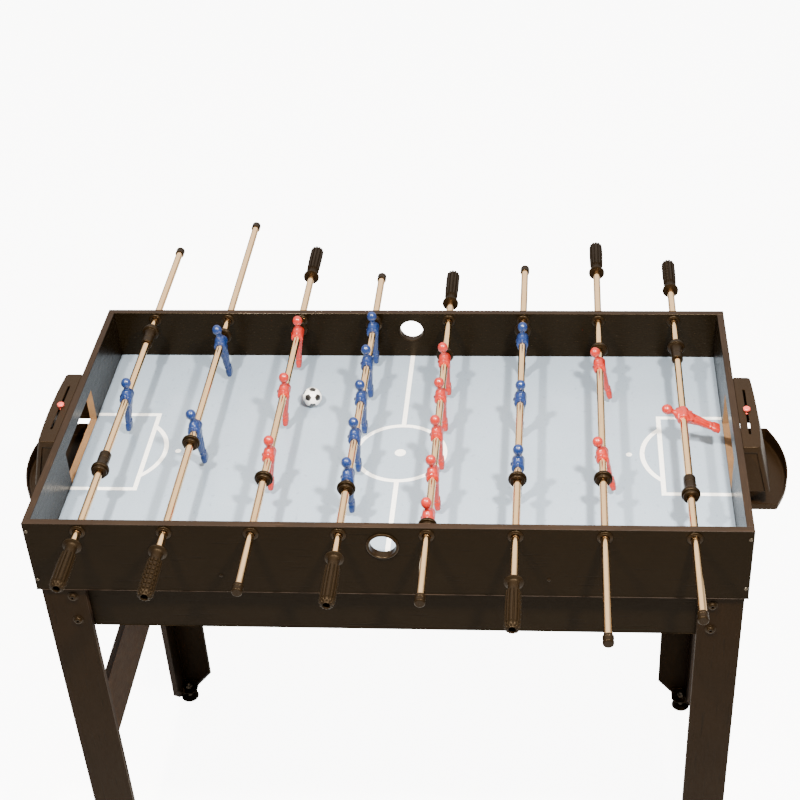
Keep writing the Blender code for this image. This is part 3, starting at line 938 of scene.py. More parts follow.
def serve_rings():
    """The plastic rings that line the serving holes, with a rolled flange outside."""
    for word, side in SIDES:
        inner = HALF_WIDTH - BOARD - FIT_GAP
        outer = HALF_WIDTH + FIT_GAP
        profile = (
            (side * inner, 0.0213),
            (side * (inner + 0.001), 0.0209),
            (side * (outer + 0.0014), 0.0209),
            (side * (outer + 0.0024), 0.0216),
            (side * (outer + 0.0024), 0.0236),
            (side * (outer + 0.0010), 0.0254),
            (side * outer, 0.0254),
            (side * outer, 0.0228),
            (side * inner, 0.0228),
        )
        mesh = turned(profile, 0.0005, sides=64, closed=True)
        at = (SERVE.x, 0.0, SERVE.z)
        name = f"serve_lining_{word}"
        node = [f"serve_ring_{word}"]
        finishes = (plain_finish("ring_rubber"),)
        add_piece(name, mesh, "cabinet", finishes, at, stands_for=node)


def bushings():
    """A flanged bearing round each rod in each long panel, with a collar outside."""
    for word, side in SIDES:
        inner = HALF_WIDTH - BOARD
        profile = (
            (side * (inner - 0.0027), 0.0072),
            (side * (HALF_WIDTH + 0.0027), 0.0072),
            (side * (HALF_WIDTH + 0.0027), 0.0084),
            (side * (HALF_WIDTH + 0.0020), 0.0090),
            (side * (HALF_WIDTH + 0.0016), 0.0112),
            (side * (HALF_WIDTH + 0.0008), 0.0120),
            (side * (HALF_WIDTH + 0.0001), 0.0120),
            (side * (HALF_WIDTH + 0.0001), 0.0086),
            (side * (inner - 0.0001), 0.0086),
            (side * (inner - 0.0001), 0.0120),
            (side * (inner - 0.0009), 0.0120),
            (side * (inner - 0.0018), 0.0112),
            (side * (inner - 0.0027), 0.0092),
        )
        mesh = turned(profile, 0.0004, sides=40, closed=True)
        for rod in ROD_NUMBERS:
            x, _, z = rod_middle(rod)
            name = f"bushing_{word}_{rod}"
            finishes = (plain_finish("ring_rubber"),)
            add_piece(name, mesh, "cabinet", finishes, (x, 0.0, z))


def bowed_outline(reach, bulge, half, corner, z, steps=6, arcs=18):
    """A plan outline with a straight back at reach 0 and a bowed front with rounded corners."""
    points = [(0.0, -half, z)]
    for i in range(steps + 1):
        turn = math.radians(90 * i / steps)
        x = reach - corner + corner * math.sin(turn)
        points.append((x, -half + corner - corner * math.cos(turn), z))
    for i in range(1, arcs):
        y = (half - corner) * (2 * i / arcs - 1)
        points.append((reach + bulge * (1 - (y / (half - corner)) ** 2), y, z))
    points += [(x, -y, z) for x, y, _ in reversed(points[1 : steps + 2])]
    points.append((0.0, half, z))
    return points


def outward(points, end):
    """The points moved to an end panel's outer face, pointing away from the table."""
    start = HALF_LENGTH + FIT_GAP
    return [(end * (start + x), y, z) for x, y, z in points]


def goal_box(word, end):
    """The goal's outer shell: open below, slotted on top, with a sunk panel in each side wall."""
    flare = (HOOD_BOTTOM_REACH - HOOD_TOP_REACH) / HOOD_DEPTH
    outline = (HOOD_BULGE, HOOD_HALF_WIDTH, HOOD_CORNER_R)
    rings = [
        outward(bowed_outline(HOOD_TOP_REACH, *outline, 0.0), end),
        outward(bowed_outline(HOOD_BOTTOM_REACH, *outline, -HOOD_DEPTH), end),
    ]
    inside = []
    for depth in (SHELL_WALL, HOOD_DEPTH + OVERCUT):
        reach = HOOD_TOP_REACH + flare * depth - SHELL_WALL
        ring = bowed_outline(reach, HOOD_BULGE, HOOD_HALF_WIDTH - HOOD_SIDE_WALL, 0.003, -depth)
        ring[0] = (-OVERCUT, *ring[0][1:])
        ring[-1] = (-OVERCUT, *ring[-1][1:])
        inside.append(outward(ring, end))
    mesh = carved(skin(rings), skin(inside))
    slot = []
    for z in (-SHELL_WALL - OVERCUT, OVERCUT):
        ring = []
        for side in (-1, 1):
            for step in range(7):
                turn = math.radians(180 * step / 6) + (0 if side > 0 else math.pi)
                x = end * (HALF_LENGTH + SLOT_REACH) + SLOT_HALF_WIDTH * math.cos(turn)
                y = side * (SLOT_HALF_LENGTH - SLOT_HALF_WIDTH) + SLOT_HALF_WIDTH * math.sin(turn)
                ring.append((x, y, z))
        slot.append(ring)
    mesh = carved(mesh, skin(slot))
    for side in (-1, 1):
        y = (side * (HOOD_HALF_WIDTH - 0.0030), side * (HOOD_HALF_WIDTH + 0.002))
        rings = []
        for depth in (0.0115, HOOD_DEPTH + OVERCUT):
            reach = HOOD_TOP_REACH + flare * depth - 0.0085
            square = ((-OVERCUT, y[0]), (reach, y[0]), (reach, y[1]), (-OVERCUT, y[1]))
            rings.append(outward([(a, b, -depth) for a, b in square], end))
        mesh = carved(mesh, skin(rings))
    bm = bm_of(mesh)
    bmesh.ops.remove_doubles(bm, verts=bm.verts, dist=0.00002)
    round_edges(bm, 0.0009, segments=3, angle=38)
    mesh = smoothed(mesh_from(bm), 60)
    mesh = with_even_shading(mesh)
    name = f"goal_box_{word}"
    node = [f"goal_hood_{word}"]
    finishes = (plain_finish("moulded_plastic"),)
    add_piece(name, mesh, "cabinet", finishes, stands_for=node)


def ball_scoop(word, end):
    """The open scoop under a goal box. Its rim dips towards the near side."""
    outer = bowed_outline(SCOOP_REACH, SCOOP_BULGE, SCOOP_HALF_WIDTH, 0.004, 0.0, arcs=30)
    inner = bowed_outline(
        SCOOP_REACH - SHELL_WALL, SCOOP_BULGE, SCOOP_HALF_WIDTH - SHELL_WALL, 0.0025, 0.0, arcs=30
    )
    inner[0] = (SHELL_WALL, *inner[0][1:])
    inner[-1] = (SHELL_WALL, *inner[-1][1:])

    def rim(y):
        share = 0.5 - 0.5 * y / SCOOP_HALF_WIDTH
        return SCOOP_TOP - SCOOP_DIP * min(1.0, max(0.0, share * 1.25)) ** 1.5

    def shrunk(points, by, z):
        kept = 1 - by / SCOOP_HALF_WIDTH
        return [(max(0.0, x - by) if x > 0.01 else x, y * kept, z) for x, y, _ in points]

    rings = [
        shrunk(outer, 0.003, SCOOP_BOTTOM),
        shrunk(outer, 0.0008, SCOOP_BOTTOM + 0.0012),
        shrunk(outer, 0.0, SCOOP_BOTTOM + 0.0035),
        [(x, y, rim(y) - 0.0006) for x, y, _ in outer],
        [(x * 0.5 + a * 0.5, y * 0.5 + b * 0.5, rim(y)) for (x, y, _), (a, b, _) in zip(outer, inner)],
        [(x, y, rim(y) - 0.0006) for x, y, _ in inner],
        [(x, y, SCOOP_BOTTOM + SHELL_WALL + 0.003) for x, y, _ in inner],
        shrunk(inner, 0.0012, SCOOP_BOTTOM + SHELL_WALL + 0.0008),
        shrunk(inner, 0.004, SCOOP_BOTTOM + SHELL_WALL),
    ]
    mesh = skin([outward(ring, end) for ring in rings], smooth=50)
    mesh = with_even_shading(mesh)
    name = f"ball_scoop_{word}"
    node = [f"ball_tray_{word}"]
    finishes = (plain_finish("moulded_plastic"),)
    add_piece(name, mesh, "cabinet", finishes, stands_for=node)


def score_beads():
    """The beads that keep score, each held in its slot by a clip."""
    profile = (
        (-0.0068, 0.0004),
        (-0.0068, 0.0036),
        (-0.0050, 0.0036),
        (-0.0046, 0.0018),
        (0.0003, 0.0018),
        (0.0003, 0.0048),
        (0.0014, 0.0060),
        (0.0024, 0.0054),
        (0.0034, 0.0060),
        (0.0046, 0.0050),
        (0.0052, 0.0026),
        (0.0052, 0.0004),
    )
    mesh = turned(profile, 0.0006, sides=32, axis="Z")
    for word, _ in ENDS:
        low, high = box_from_rim(f"score_slider_{word}")
        at = ((low.x + high.x) / 2, (low.y + high.y) / 2, 0.0)
        node = [f"score_slider_{word}"]
        finishes = (plain_finish("score_plastic"),)
        name = f"score_bead_{word}"
        add_piece(name, mesh, f"score_{word}", finishes, at, stands_for=node)


# The fasteners


def bolt_head(radius, height, washer, sides=6):
    """A button head with a socket, on a washer where it has one, standing up from z = 0."""
    profile = [(-0.0004, 0.0004)]
    base = 0.0
    if washer:
        profile += [(-0.0004, washer), (0.0010, washer)]
        base = 0.0010
    else:
        profile += [(-0.0004, radius)]
    profile += [
        (base, radius),
        (base + 0.45 * height, radius),
        (base + 0.85 * height, 0.78 * radius),
        (base + height, 0.5 * radius),
        (base + height, 0.0004),
    ]
    head = turned(profile, 0.0003, sides=28, axis="Z")
    ends = (base + 0.35 * height, base + 2 * height)
    if sides == 6:
        return carved(head, skin([circle(0.40 * radius, 6, (0, 0, z), "Z") for z in ends]))
    for long, short in ((0.62, 0.13), (0.13, 0.62)):
        low = (-long * radius, -short * radius, ends[0])
        high = (long * radius, short * radius, ends[1])
        head = carved(head, skin(box_rings(low, high)))
    return head


def facing(direction, place):
    """The place of a fastener whose head points in the direction."""
    turn = Vector(direction).to_track_quat("Z", "Y").to_matrix().to_4x4()
    return Matrix.Translation(place) @ turn


def fasteners():
    """Bolts through the legs, screws along the panels' edges and into the field board."""
    bolts = []
    for _, end in ENDS:
        for _, side in SIDES:
            for z in BOLT_HEIGHTS:
                bolts.append(facing((0, side, 0), corner_point(end, side, BOLT_PLACE, 0.0, z)))
                bolts.append(facing((end, 0, 0), corner_point(end, side, 0.0, BOLT_PLACE, z)))
    mesh = copies(bolt_head(0.0066, 0.0038, 0.0088), bolts)
    add_piece("leg_bolts", mesh, "cabinet", (plain_finish("ring_rubber"),))
    screws = []
    for _, side in SIDES:
        y = side * HALF_WIDTH
        for _, end in ENDS:
            for z in PANEL_SCREW_HEIGHTS:
                place = (end * (HALF_LENGTH - PANEL_SCREW_INSET), y, z)
                screws.append(facing((0, side, 0), place))
    mesh = copies(bolt_head(0.0030, 0.0014, None, sides=4), screws)
    add_piece("panel_screws", mesh, "cabinet", (plain_finish("screw_zinc"),))
    low, high = box_from_rim("playfield")
    level = (low.z + high.z) / 2 - 0.004
    pins = []
    for _, side in SIDES:
        for x in FIELD_SCREWS_ALONG:
            pins.append(facing((0, side, 0), (x, side * HALF_WIDTH, level)))
    for _, end in ENDS:
        for y in FIELD_SCREWS_ACROSS:
            pins.append(facing((end, 0, 0), (end * HALF_LENGTH, y, level)))
    for _, end in ENDS:
        for _, side in SIDES:
            z = LEG_BOTTOM + BRACKET_SCREW_RISE
            inset = BRACKET_SCREW_PLACE
            for u, v, face in ((inset, 0.0, (0, side, 0)), (0.0, inset, (end, 0, 0))):
                pins.append(facing(face, corner_point(end, side, u, v, z)))
    mesh = copies(bolt_head(0.0031, 0.0012, None, sides=4), pins)
    add_piece("small_screws", mesh, "cabinet", (plain_finish("ring_rubber"),))
    slips = []
    for word, end in ENDS:
        low, high = box_from_rim(f"stretcher_{word}")
        for y in (low.y + 0.020, high.y - 0.020):
            for z in (low.z + 0.022, high.z - 0.022):
                slips.append(facing((end, 0, 0), (end * (HALF_LENGTH - LEG_INSET), y, z)))
    mesh = copies(bolt_head(0.0042, 0.0016, None, sides=4), slips)
    add_piece("tie_board_screws", mesh, "cabinet", (plain_finish("screw_zinc"),))


# The rods and what is on them


def rod_facts(rod):
    """A rod's middle line, which side its handle is on, and its men, team and swing."""
    count, team, swing, _ = RODS[rod - 1]
    side = -1 if team == "blue" else 1
    return rod_middle(rod), side, count, team, swing


def steel_rods():
    for rod in ROD_NUMBERS:
        middle, side, _, _, swing = rod_facts(rod)
        low, high = box_from_rim(f"rod_{rod}")
        near, far = low.y - middle.y, high.y - middle.y
        plain, held = (far, near) if side < 0 else (near, far)
        profile = (
            (held, 0.0052),
            (held, ROD_R),
            (held * 0.5, ROD_R),
            (0.0, ROD_R),
            (plain * 0.5, ROD_R),
            (plain + side * 0.004, ROD_R),
            (plain + side * 0.004, 0.0004),
            (held - side * 0.02, 0.0004),
            (held - side * 0.02, 0.0052),
        )
        mesh = turned(profile, 0.0004, sides=32, closed=True)
        body = f"rod_{rod}"
        finishes = (plain_finish("rod_plating"),)
        name = f"steel_rod_{rod}"
        add_piece(name, mesh, body, finishes, middle, swing, stands_for=[f"rod_{rod}"])
        start = plain + side * 0.016
        profile = (
            (start, 0.0066),
            (start, 0.0079),
            (start - side * 0.0012, 0.0084),
            (start - side * 0.0050, 0.0084),
            (start - side * 0.0056, 0.0080),
            (start - side * 0.0105, 0.0080),
            (start - side * 0.0111, 0.0084),
            (plain + side * 0.0012, 0.0082),
            (plain, 0.0069),
            (plain, 0.0004),
            (plain + side * 0.0035, 0.0004),
            (plain + side * 0.0035, 0.0066),
        )
        mesh = turned(profile, 0.0004, sides=32, closed=True)
        name = f"rod_cap_{rod}"
        add_piece(name, mesh, body, (plain_finish("ring_rubber"),), middle, swing)


def add_loft(bm, rings, sides=20):
    """A limb through level rings: the middle of each, its half depth and half width, and squareness."""
    loops = []
    for x, y, z, depth, width, square in rings:
        ring = []
        for i in range(sides):
            turn = 2 * math.pi * i / sides
            c, s = math.cos(turn), math.sin(turn)
            power = 1.0 - square
            u = math.copysign(abs(c) ** power, c)
            v = math.copysign(abs(s) ** power, s)
            ring.append((x + depth * u, y + width * v, z))
        loops.append(ring)
    add_skin(bm, loops)


def man_mesh():
    """One man, moulded in one piece round the rod: head, chest, arms, legs and foot block."""
    bm = bmesh.new()
    rings = []
    for step in range(11):
        turn = math.pi * step / 10
        z = HEAD_PLACE - HEAD_R * math.cos(turn)
        reach = max(0.0008, math.sin(turn))
        rings.append((0.0004, 0.0, z, 0.0087 * reach, 0.0083 * reach, 0.0))
    add_loft(bm, rings)
    add_loft(bm, [(0.0, 0.0, 0.0060, 0.0050, 0.0056, 0.0), (0.0, 0.0, 0.0220, 0.0040, 0.0045, 0.0)])
    chest = (
        (-0.0205, 0.0060, 0.0090, 0.20),
        (-0.0165, 0.0080, 0.0104, 0.20),
        (-0.0100, 0.0094, 0.0114, 0.16),
        (-0.0045, 0.0098, 0.0114, 0.12),
        (0.0020, 0.0098, 0.0118, 0.12),
        (0.0080, 0.0092, 0.0122, 0.14),
        (0.0115, 0.0078, 0.0112, 0.12),
        (0.0138, 0.0056, 0.0080, 0.05),
        (0.0158, 0.0042, 0.0048, 0.0),
    )
    add_loft(bm, [(0.0, 0.0, *ring) for ring in chest])
    for side in (-1, 1):
        arm = (
            (0.0000, 0.0106, 0.0128, 0.0017, 0.0014),
            (0.0000, 0.0116, 0.0114, 0.0032, 0.0027),
            (0.0004, 0.0123, 0.0068, 0.0033, 0.0027),
            (0.0010, 0.0127, 0.0010, 0.0029, 0.0024),
            (0.0024, 0.0126, -0.0054, 0.0028, 0.0023),
            (0.0040, 0.0118, -0.0110, 0.0026, 0.0021),
            (0.0046, 0.0112, -0.0140, 0.0028, 0.0022),
            (0.0047, 0.0110, -0.0158, 0.0015, 0.0012),
        )
        add_loft(bm, [(x, side * y, z, a, b, 0.0) for x, y, z, a, b in arm], sides=14)
        limb = (
            (0.0000, 0.0052, -0.0120, 0.0076, 0.0055),
            (0.0004, 0.0050, -0.0220, 0.0066, 0.0051),
            (0.0006, 0.0046, -0.0310, 0.0055, 0.0044),
            (0.0000, 0.0045, -0.0370, 0.0055, 0.0044),
            (-0.0004, 0.0043, -0.0430, 0.0050, 0.0041),
            (-0.0002, 0.0041, -0.0520, 0.0040, 0.0038),
        )
        add_loft(bm, [(x, side * y, z, a, b, 0.0) for x, y, z, a, b in limb], sides=16)
    web = ((-0.0120, 0.0040, 0.006), (-0.0300, 0.0030, 0.004), (-0.0520, 0.0032, 0.004))
    add_loft(bm, [(0.0, 0.0, z, depth, width, 0.1) for z, depth, width in web])
    cuff = ((-0.0512, 0.0046, 0.0082), (-0.0504, 0.0060, 0.0094), (-0.0488, 0.0058, 0.0090))
    add_loft(bm, [(0.0, 0.0, z, depth, width, 0.15) for z, depth, width in cuff])
    block = (
        (-0.0512, 0.0044, 0.0082, 0.20),
        (-0.0534, 0.0046, 0.0090, 0.25),
        (-0.0560, 0.0053, 0.0102, 0.35),
        (-0.0600, 0.0053, 0.0107, 0.40),
        (-0.0666, 0.0047, 0.0107, 0.40),
    )
    add_loft(bm, [(0.0, 0.0, *ring) for ring in block], sides=28)
    boss = [circle(BOSS_R, 28, (0.0, y, 0.0), "Y") for y in (-0.0134, -0.0126, 0.0126, 0.0134)]
    for point in boss[0] + boss[3]:
        point.x *= 0.92
        point.z *= 0.92
    add_skin(bm, boss)
    lug = [(-0.0114, 0.0030), (-0.0108, 0.0036), (-0.0070, 0.0040)]
    add_skin(bm, [[(x, p.x, p.y) for p in circle(reach, 20, (0, 0, 0), "Z")] for x, reach in lug])
    detail = sizes().man_detail
    mesh = worked(
        mesh_from(bm),
        ("REMESH", {"mode": "VOXEL", "voxel_size": detail}),
        ("SMOOTH", {"factor": 0.5, "iterations": 3}),
    )
    hole = [circle(BORE_R - 0.0006, 28, (0.0, y, 0.0), "Y") for y in (-0.02, 0.02)]
    mesh = carved(mesh, skin(hole))
    mesh = worked(mesh, ("DECIMATE", {"ratio": 0.45}))
    smoothed(mesh, 55)
    bm = bm_of(mesh)
    screw = bolt_head(0.0026, 0.0010, None, sides=4)
    screw.transform(facing((-1, 0, 0), (-0.0113, 0.0, 0.0)))
    for face in screw.polygons:
        face.material_index = 1
    take_in(bm, screw)
    made = bpy.data.meshes.new("man")
    bm.to_mesh(made)
    bm.free()
    return made


def men():
    mesh = man_mesh()
    for rod in ROD_NUMBERS:
        middle, _, count, team, swing = rod_facts(rod)
        for index, along in enumerate(MEN_PLACES[count], 1):
            at = middle + Vector((0.0, along, 0.0))
            finishes = (man_finish(team), plain_finish("ring_rubber"))
            name = f"man_{rod}_{index}"
            add_piece(name, mesh, f"rod_{rod}", finishes, at, swing)


def grip_mesh(length, side):
    """A grip along Y from its flange: a thin disc, a narrow neck, a ribbed barrel and a rounded end.

    On one half the ribs run the whole way; on the other they are cut into rows of blocks.
    """
    given = sizes()
    rise = given.rib_height
    start, stop = 0.0225, length - 0.0085
    row = (stop - start) / given.grip_rows
    gap = 0.0018

    def core(along):
        share = (along - start) / (stop - start)
        return 0.0084 + 0.0016 * math.sin(math.pi * min(0.62, 0.14 + 0.55 * max(0.0, share)))

    rings = [
        (0.0, 0.0100, 0.0, 1),
        (0.0, 0.0136, 0.0, 1),
        (0.0005, 0.0146, 0.0, 1),
        (0.0024, 0.0146, 0.0, 1),
        (0.0032, 0.0138, 0.0, 1),
        (0.0040, 0.0104, 0.0, 1),
        (0.0056, 0.0092, 0.0, 1),
        (0.0100, 0.0086, 0.0, 1),
        (0.0170, 0.0086, 0.0, 1),
        (0.0205, 0.0088, 0.0, 1),
    ]
    for index in range(given.grip_rows):
        low = start + index * row
        high = low + row - gap
        for along, up, whole in (
            (low, 0.0, index == 0),
            (low + 0.0008, 0.85, False),
            (low + 0.0016, 1.0, False),
            (high - 0.0016, 1.0, False),
            (high - 0.0008, 0.85, False),
            (high, 0.0, False),
        ):
            rings.append((along, core(along), rise * up, 0.0 if whole else 1))
    tip = core(stop)
    rings += [
        (stop, tip, 0.0, 1),
        (stop + 0.0010, tip, rise * 0.8, 1),
        (length - 0.0058, tip - 0.0003, rise * 0.9, 1),
        (length - 0.0038, tip - 0.0010, rise * 0.7, 1),
        (length - 0.0022, tip - 0.0020, rise * 0.35, 1),
        (length - 0.0016, 0.0074, 0.0, 0),
        (length - 0.0012, 0.0070, 0.0, 0),
        (length - 0.0002, 0.0067, 0.0, 0),
        (length, 0.0061, 0.0, 0),
        (length - 0.0004, 0.0055, 0.0, 0),
        (length - 0.0120, 0.0052, 0.0, 0),
        (length - 0.0125, BORE_R - 0.0004, 0.0, 0),
        (0.0, BORE_R - 0.0004, 0.0, 0),
    ]
    angles = []
    for rib in range(given.grip_ribs):
        for place, up in ((0.06, 0.0), (0.19, 0.9), (0.32, 1.0), (0.58, 1.0), (0.71, 0.9), (0.84, 0.0)):
            angles.append((2 * math.pi * (rib + place) / given.grip_ribs, up))
    loops = []
    for along, reach, height, cut in rings:
        ring = []
        for turn, up in angles:
            lift = height
            if cut and start < along < stop and math.sin(turn) > 0.0:
                lift = rise
            distance = reach + lift * up
            ring.append((distance * math.cos(turn), side * along, distance * math.sin(turn)))
        loops.append(ring)
    return skin(loops, closed=True, smooth=42)


def grips():
    for rod in ROD_NUMBERS:
        middle, side, _, _, swing = rod_facts(rod)
        low, high = box_from_rim(f"handle_{rod}")
        flange = high.y if side < 0 else low.y
        at = Vector((middle.x, flange, middle.z))
        mesh = grip_mesh(high.y - low.y, side)
        mesh.transform(Matrix.Rotation(math.radians(GRIP_TURNS[rod - 1]), 4, "Y"))
        node = [f"handle_{rod}"]
        finishes = (plain_finish("grip_rubber"),)
        name = f"grip_{rod}"
        add_piece(name, mesh, f"rod_{rod}", finishes, at, swing, stands_for=node)


def stop_ring_profile(length, side):
    """Two lips with a groove between them. Places count inwards from the ring's outer face."""
    shape = (
        (0.0, BORE_R),
        (0.0, 0.0112),
        (0.0010, 0.0121),
        (0.0036, 0.0121),
        (0.0042, 0.0112),
        (0.0050, 0.0112),
        (0.0056, 0.0144),
        (0.0066, 0.0150),
        (0.0100, 0.0150),
        (0.0108, 0.0144),
        (length, 0.0116),
        (length, BORE_R),
    )
    return [(-side * along, reach) for along, reach in shape]


def sleeve_profile(length, side):
    """A goalkeeper's stop: a lip, a big rounded ring, and a long narrow sleeve towards the man."""
    shape = (
        (0.0, BORE_R),
        (0.0, 0.0114),
        (0.0010, 0.0124),
        (0.0046, 0.0124),
        (0.0054, 0.0116),
        (0.0062, 0.0142),
        (0.0078, 0.0150),
        (0.0118, 0.0150),
        (0.0134, 0.0142),
        (0.0142, 0.0112),
        (0.0190, 0.0106),
        (0.0230, 0.0098),
        (0.0340, 0.0098),
        (0.0346, 0.0093),
        (0.0354, 0.0093),
        (0.0360, 0.0098),
        (length - 0.0008, 0.0098),
        (length, 0.0091),
        (length, BORE_R),
    )
    return [(-side * along, reach) for along, reach in shape]


def stop_rings():
    for rod in ROD_NUMBERS:
        middle, _, count, _, _ = rod_facts(rod)
        for word, side in SIDES:
            low, high = box_from_rim(f"bumper_{word}_{rod}")
            face = low.y if side < 0 else high.y
            length = high.y - low.y
            make = sleeve_profile if count == 1 else stop_ring_profile
            mesh = turned(make(length, side), 0.0005, sides=40, closed=True)
            if count == 1:
                screw = bolt_head(0.0022, 0.0012, None, sides=4)
                screw.transform(facing((0.9, 0, 0.45), (0.0086, -side * 0.027, 0.0044)))
                bm = bm_of(mesh)
                take_in(bm, screw)
                mesh = mesh_from(bm, smooth=50)
            at = Vector((middle.x, face, middle.z))
            name = f"stop_ring_{word}_{rod}"
            node = [f"bumper_{word}_{rod}"]
            finishes = (plain_finish("ring_rubber"),)
            add_piece(name, mesh, f"slider_{rod}", finishes, at, stands_for=node)


def match_ball():
    """A ball of twelve black five-sided panels and twenty white six-sided ones, with seams."""
    low, high = box_from_rim("ball")
    radius = (high.z - low.z) / 2
    bm = bmesh.new()
    bmesh.ops.create_icosphere(bm, subdivisions=1, radius=1.0)
    bmesh.ops.bevel(
        bm, geom=bm.verts[:], offset=37.0, offset_type="PERCENT", affect="VERTICES", segments=1
    )
    seam = bm.verts.layers.float.new("seam")
    for vert in bm.verts:
        vert[seam] = 1.0
    for face in bm.faces:
        face.material_index = 1 if len(face.verts) == 5 else 0
    bmesh.ops.inset_individual(bm, faces=bm.faces[:], thickness=0.014, depth=0.0)
    panels = [face for face in bm.faces if len(face.verts) > 4]
    bmesh.ops.poke(bm, faces=panels)
    for _ in range(2):
        bmesh.ops.subdivide_edges(bm, edges=bm.edges[:], cuts=1, use_grid_fill=True)
    for vert in bm.verts:
        vert.co = vert.co.normalized() * (radius - 0.00045 * vert[seam])
    mesh = mesh_from(bm, smooth=60)
    finishes = (ball_finish(False), ball_finish(True))
    turn = Euler([math.radians(angle) for angle in BALL_TURN])
    mesh.transform(turn.to_matrix().to_4x4())
    add_piece("match_ball", mesh, "ball", finishes, (low + high) / 2, stands_for=["ball"])


# The stage


def make_floor():
    """A plain pale floor, far wider than the table."""
    given = bpy.context.scene.foosball_stage
    bm = bmesh.new()
    bmesh.ops.create_grid(bm, x_segments=8, y_segments=8, size=14.0)
    floor = bpy.data.objects.new("floor", mesh_from(bm, "floor"))
    floor.location = (0.0, 0.0, -0.0002)
    bpy.context.scene.collection.objects.link(floor)
    made = bpy.data.materials.new("pale_floor")
    made.use_nodes = True
    tree = made.node_tree
    shader = tree.nodes["Principled BSDF"]
    shader.inputs["Roughness"].default_value = 0.85
    shader.inputs["Specular IOR Level"].default_value = 0.1
    cloudy = spread(tree, pattern(tree, (1.5, 1.5, 1.5)), 0.3, 0.7)
    tone = mixed(tree, cloudy, shaded(given.floor, 0.98), shaded(given.floor, 1.02))
    put(tree, shader.inputs["Base Color"], tone)
    shader.inputs["Emission Color"].default_value = (1.0, 0.995, 0.985, 1.0)
    seen = add_node(tree, "ShaderNodeLightPath").outputs["Is Camera Ray"]
    glow = add_node(tree, "ShaderNodeMath", {"operation": "MULTIPLY"})
    put(tree, glow.inputs[0], seen)
    glow.inputs[1].default_value = given.glow
    put(tree, shader.inputs["Emission Strength"], glow.outputs[0])
    floor.data.materials.append(made)


def add_lamp(name, place, aim, power, width, depth, tone):
    """A flat soft light, turned towards a point."""
    lamp = bpy.data.lights.new(name, "AREA")
    lamp.shape = "RECTANGLE"
    lamp.size = width
    lamp.size_y = depth
    lamp.energy = power
    lamp.color = tone
    held = bpy.data.objects.new(name, lamp)
    held.location = RIM + Vector(place)
    held.rotation_euler = (Vector(aim) - Vector(place)).to_track_quat("-Z", "Y").to_euler()
    held.visible_camera = False
    bpy.context.scene.collection.objects.link(held)


def make_lights():
    given = bpy.context.scene.foosball_stage
    warm = (1.0, 0.93, 0.84)
    add_lamp("soft_light", (0.0, 0.25, 2.1), (0.0, 0.0, 0.0), given.soft_power, 3.0, 2.4, warm)
    add_lamp("back_light", (0.0, 3.2, 1.9), (0.0, 0.0, 0.0), given.back_power, 5.0, 2.8, warm)
    lamp = (given.lamp_power, given.lamp_size, given.lamp_size, warm)
    add_lamp("left_lamp", (-0.59, -0.90, 1.655), (0.0, 0.0, -0.09), *lamp)
    add_lamp("right_lamp", (0.66, -0.90, 1.345), (0.0, 0.0, -0.09), *lamp)
    world = bpy.data.worlds.new("surroundings")
    world.use_nodes = True
    background = world.node_tree.nodes["Background"]
    background.inputs["Color"].default_value = (1.0, 0.97, 0.93, 1.0)
    background.inputs["Strength"].default_value = given.sky
    bpy.context.scene.world = world


def make_camera():
    camera = bpy.data.cameras.new("camera")
    camera.sensor_width = 36.0
    camera.lens = 72.28
    camera.shift_x = -0.0592
    camera.shift_y = 0.0386
    camera.clip_end = 60.0
    held = bpy.data.objects.new("camera", camera)
    held.location = (0.2584, -2.2032, 2.5682)
    held.rotation_euler = [math.radians(angle) for angle in (53.0064, 1.9585, 3.2775)]
    bpy.context.scene.collection.objects.link(held)
    bpy.context.scene.camera = held


class FOOSBALL_OT_long_panels(bpy.types.Operator):
    """Build the two long panels"""

    bl_idname = "foosball.long_panels"
    bl_label = "Long panels"

    def execute(self, context):
        for word, side in SIDES:
            side_panel(word, side)
        return {"FINISHED"}


class FOOSBALL_OT_short_panels(bpy.types.Operator):
    """Build the two end panels with their goal mouths"""

    bl_idname = "foosball.short_panels"
    bl_label = "End panels"

    def execute(self, context):
        for word, end in ENDS:
            end_panel(word, end)
        return {"FINISHED"}


class FOOSBALL_OT_field(bpy.types.Operator):
    """Build the field board and its painted lines"""

    bl_idname = "foosball.field"
    bl_label = "Field"

    def execute(self, context):
        field_board()
        field_lines()
        return {"FINISHED"}


class FOOSBALL_OT_under_boards(bpy.types.Operator):
    """Build the frame under the field and the boards between the legs"""

    bl_idname = "foosball.under_boards"
    bl_label = "Under boards"

    def execute(self, context):
        under_boards()
        return {"FINISHED"}


class FOOSBALL_OT_legs(bpy.types.Operator):
    """Build the legs, their brackets and the levelling feet"""

    bl_idname = "foosball.legs"
    bl_label = "Legs and feet"

    def execute(self, context):
        legs_and_feet()
        return {"FINISHED"}


class FOOSBALL_OT_linings(bpy.types.Operator):
    """Build the serving rings and the rods' bushings"""

    bl_idname = "foosball.linings"
    bl_label = "Rings and bushings"

    def execute(self, context):
        serve_rings()
        bushings()
        return {"FINISHED"}


class FOOSBALL_OT_goals(bpy.types.Operator):
    """Build the goal boxes, the ball scoops and the score beads"""

    bl_idname = "foosball.goals"
    bl_label = "Goals"

    def execute(self, context):
        for word, end in ENDS:
            goal_box(word, end)
            ball_scoop(word, end)
        score_beads()
        return {"FINISHED"}


class FOOSBALL_OT_fasteners(bpy.types.Operator):
    """Build the bolts and screws"""

    bl_idname = "foosball.fasteners"
    bl_label = "Bolts and screws"

    def execute(self, context):
        fasteners()
        return {"FINISHED"}


class FOOSBALL_OT_rods(bpy.types.Operator):
    """Build the steel rods and their end caps"""

    bl_idname = "foosball.rods"
    bl_label = "Rods"

    def execute(self, context):
        steel_rods()
        return {"FINISHED"}


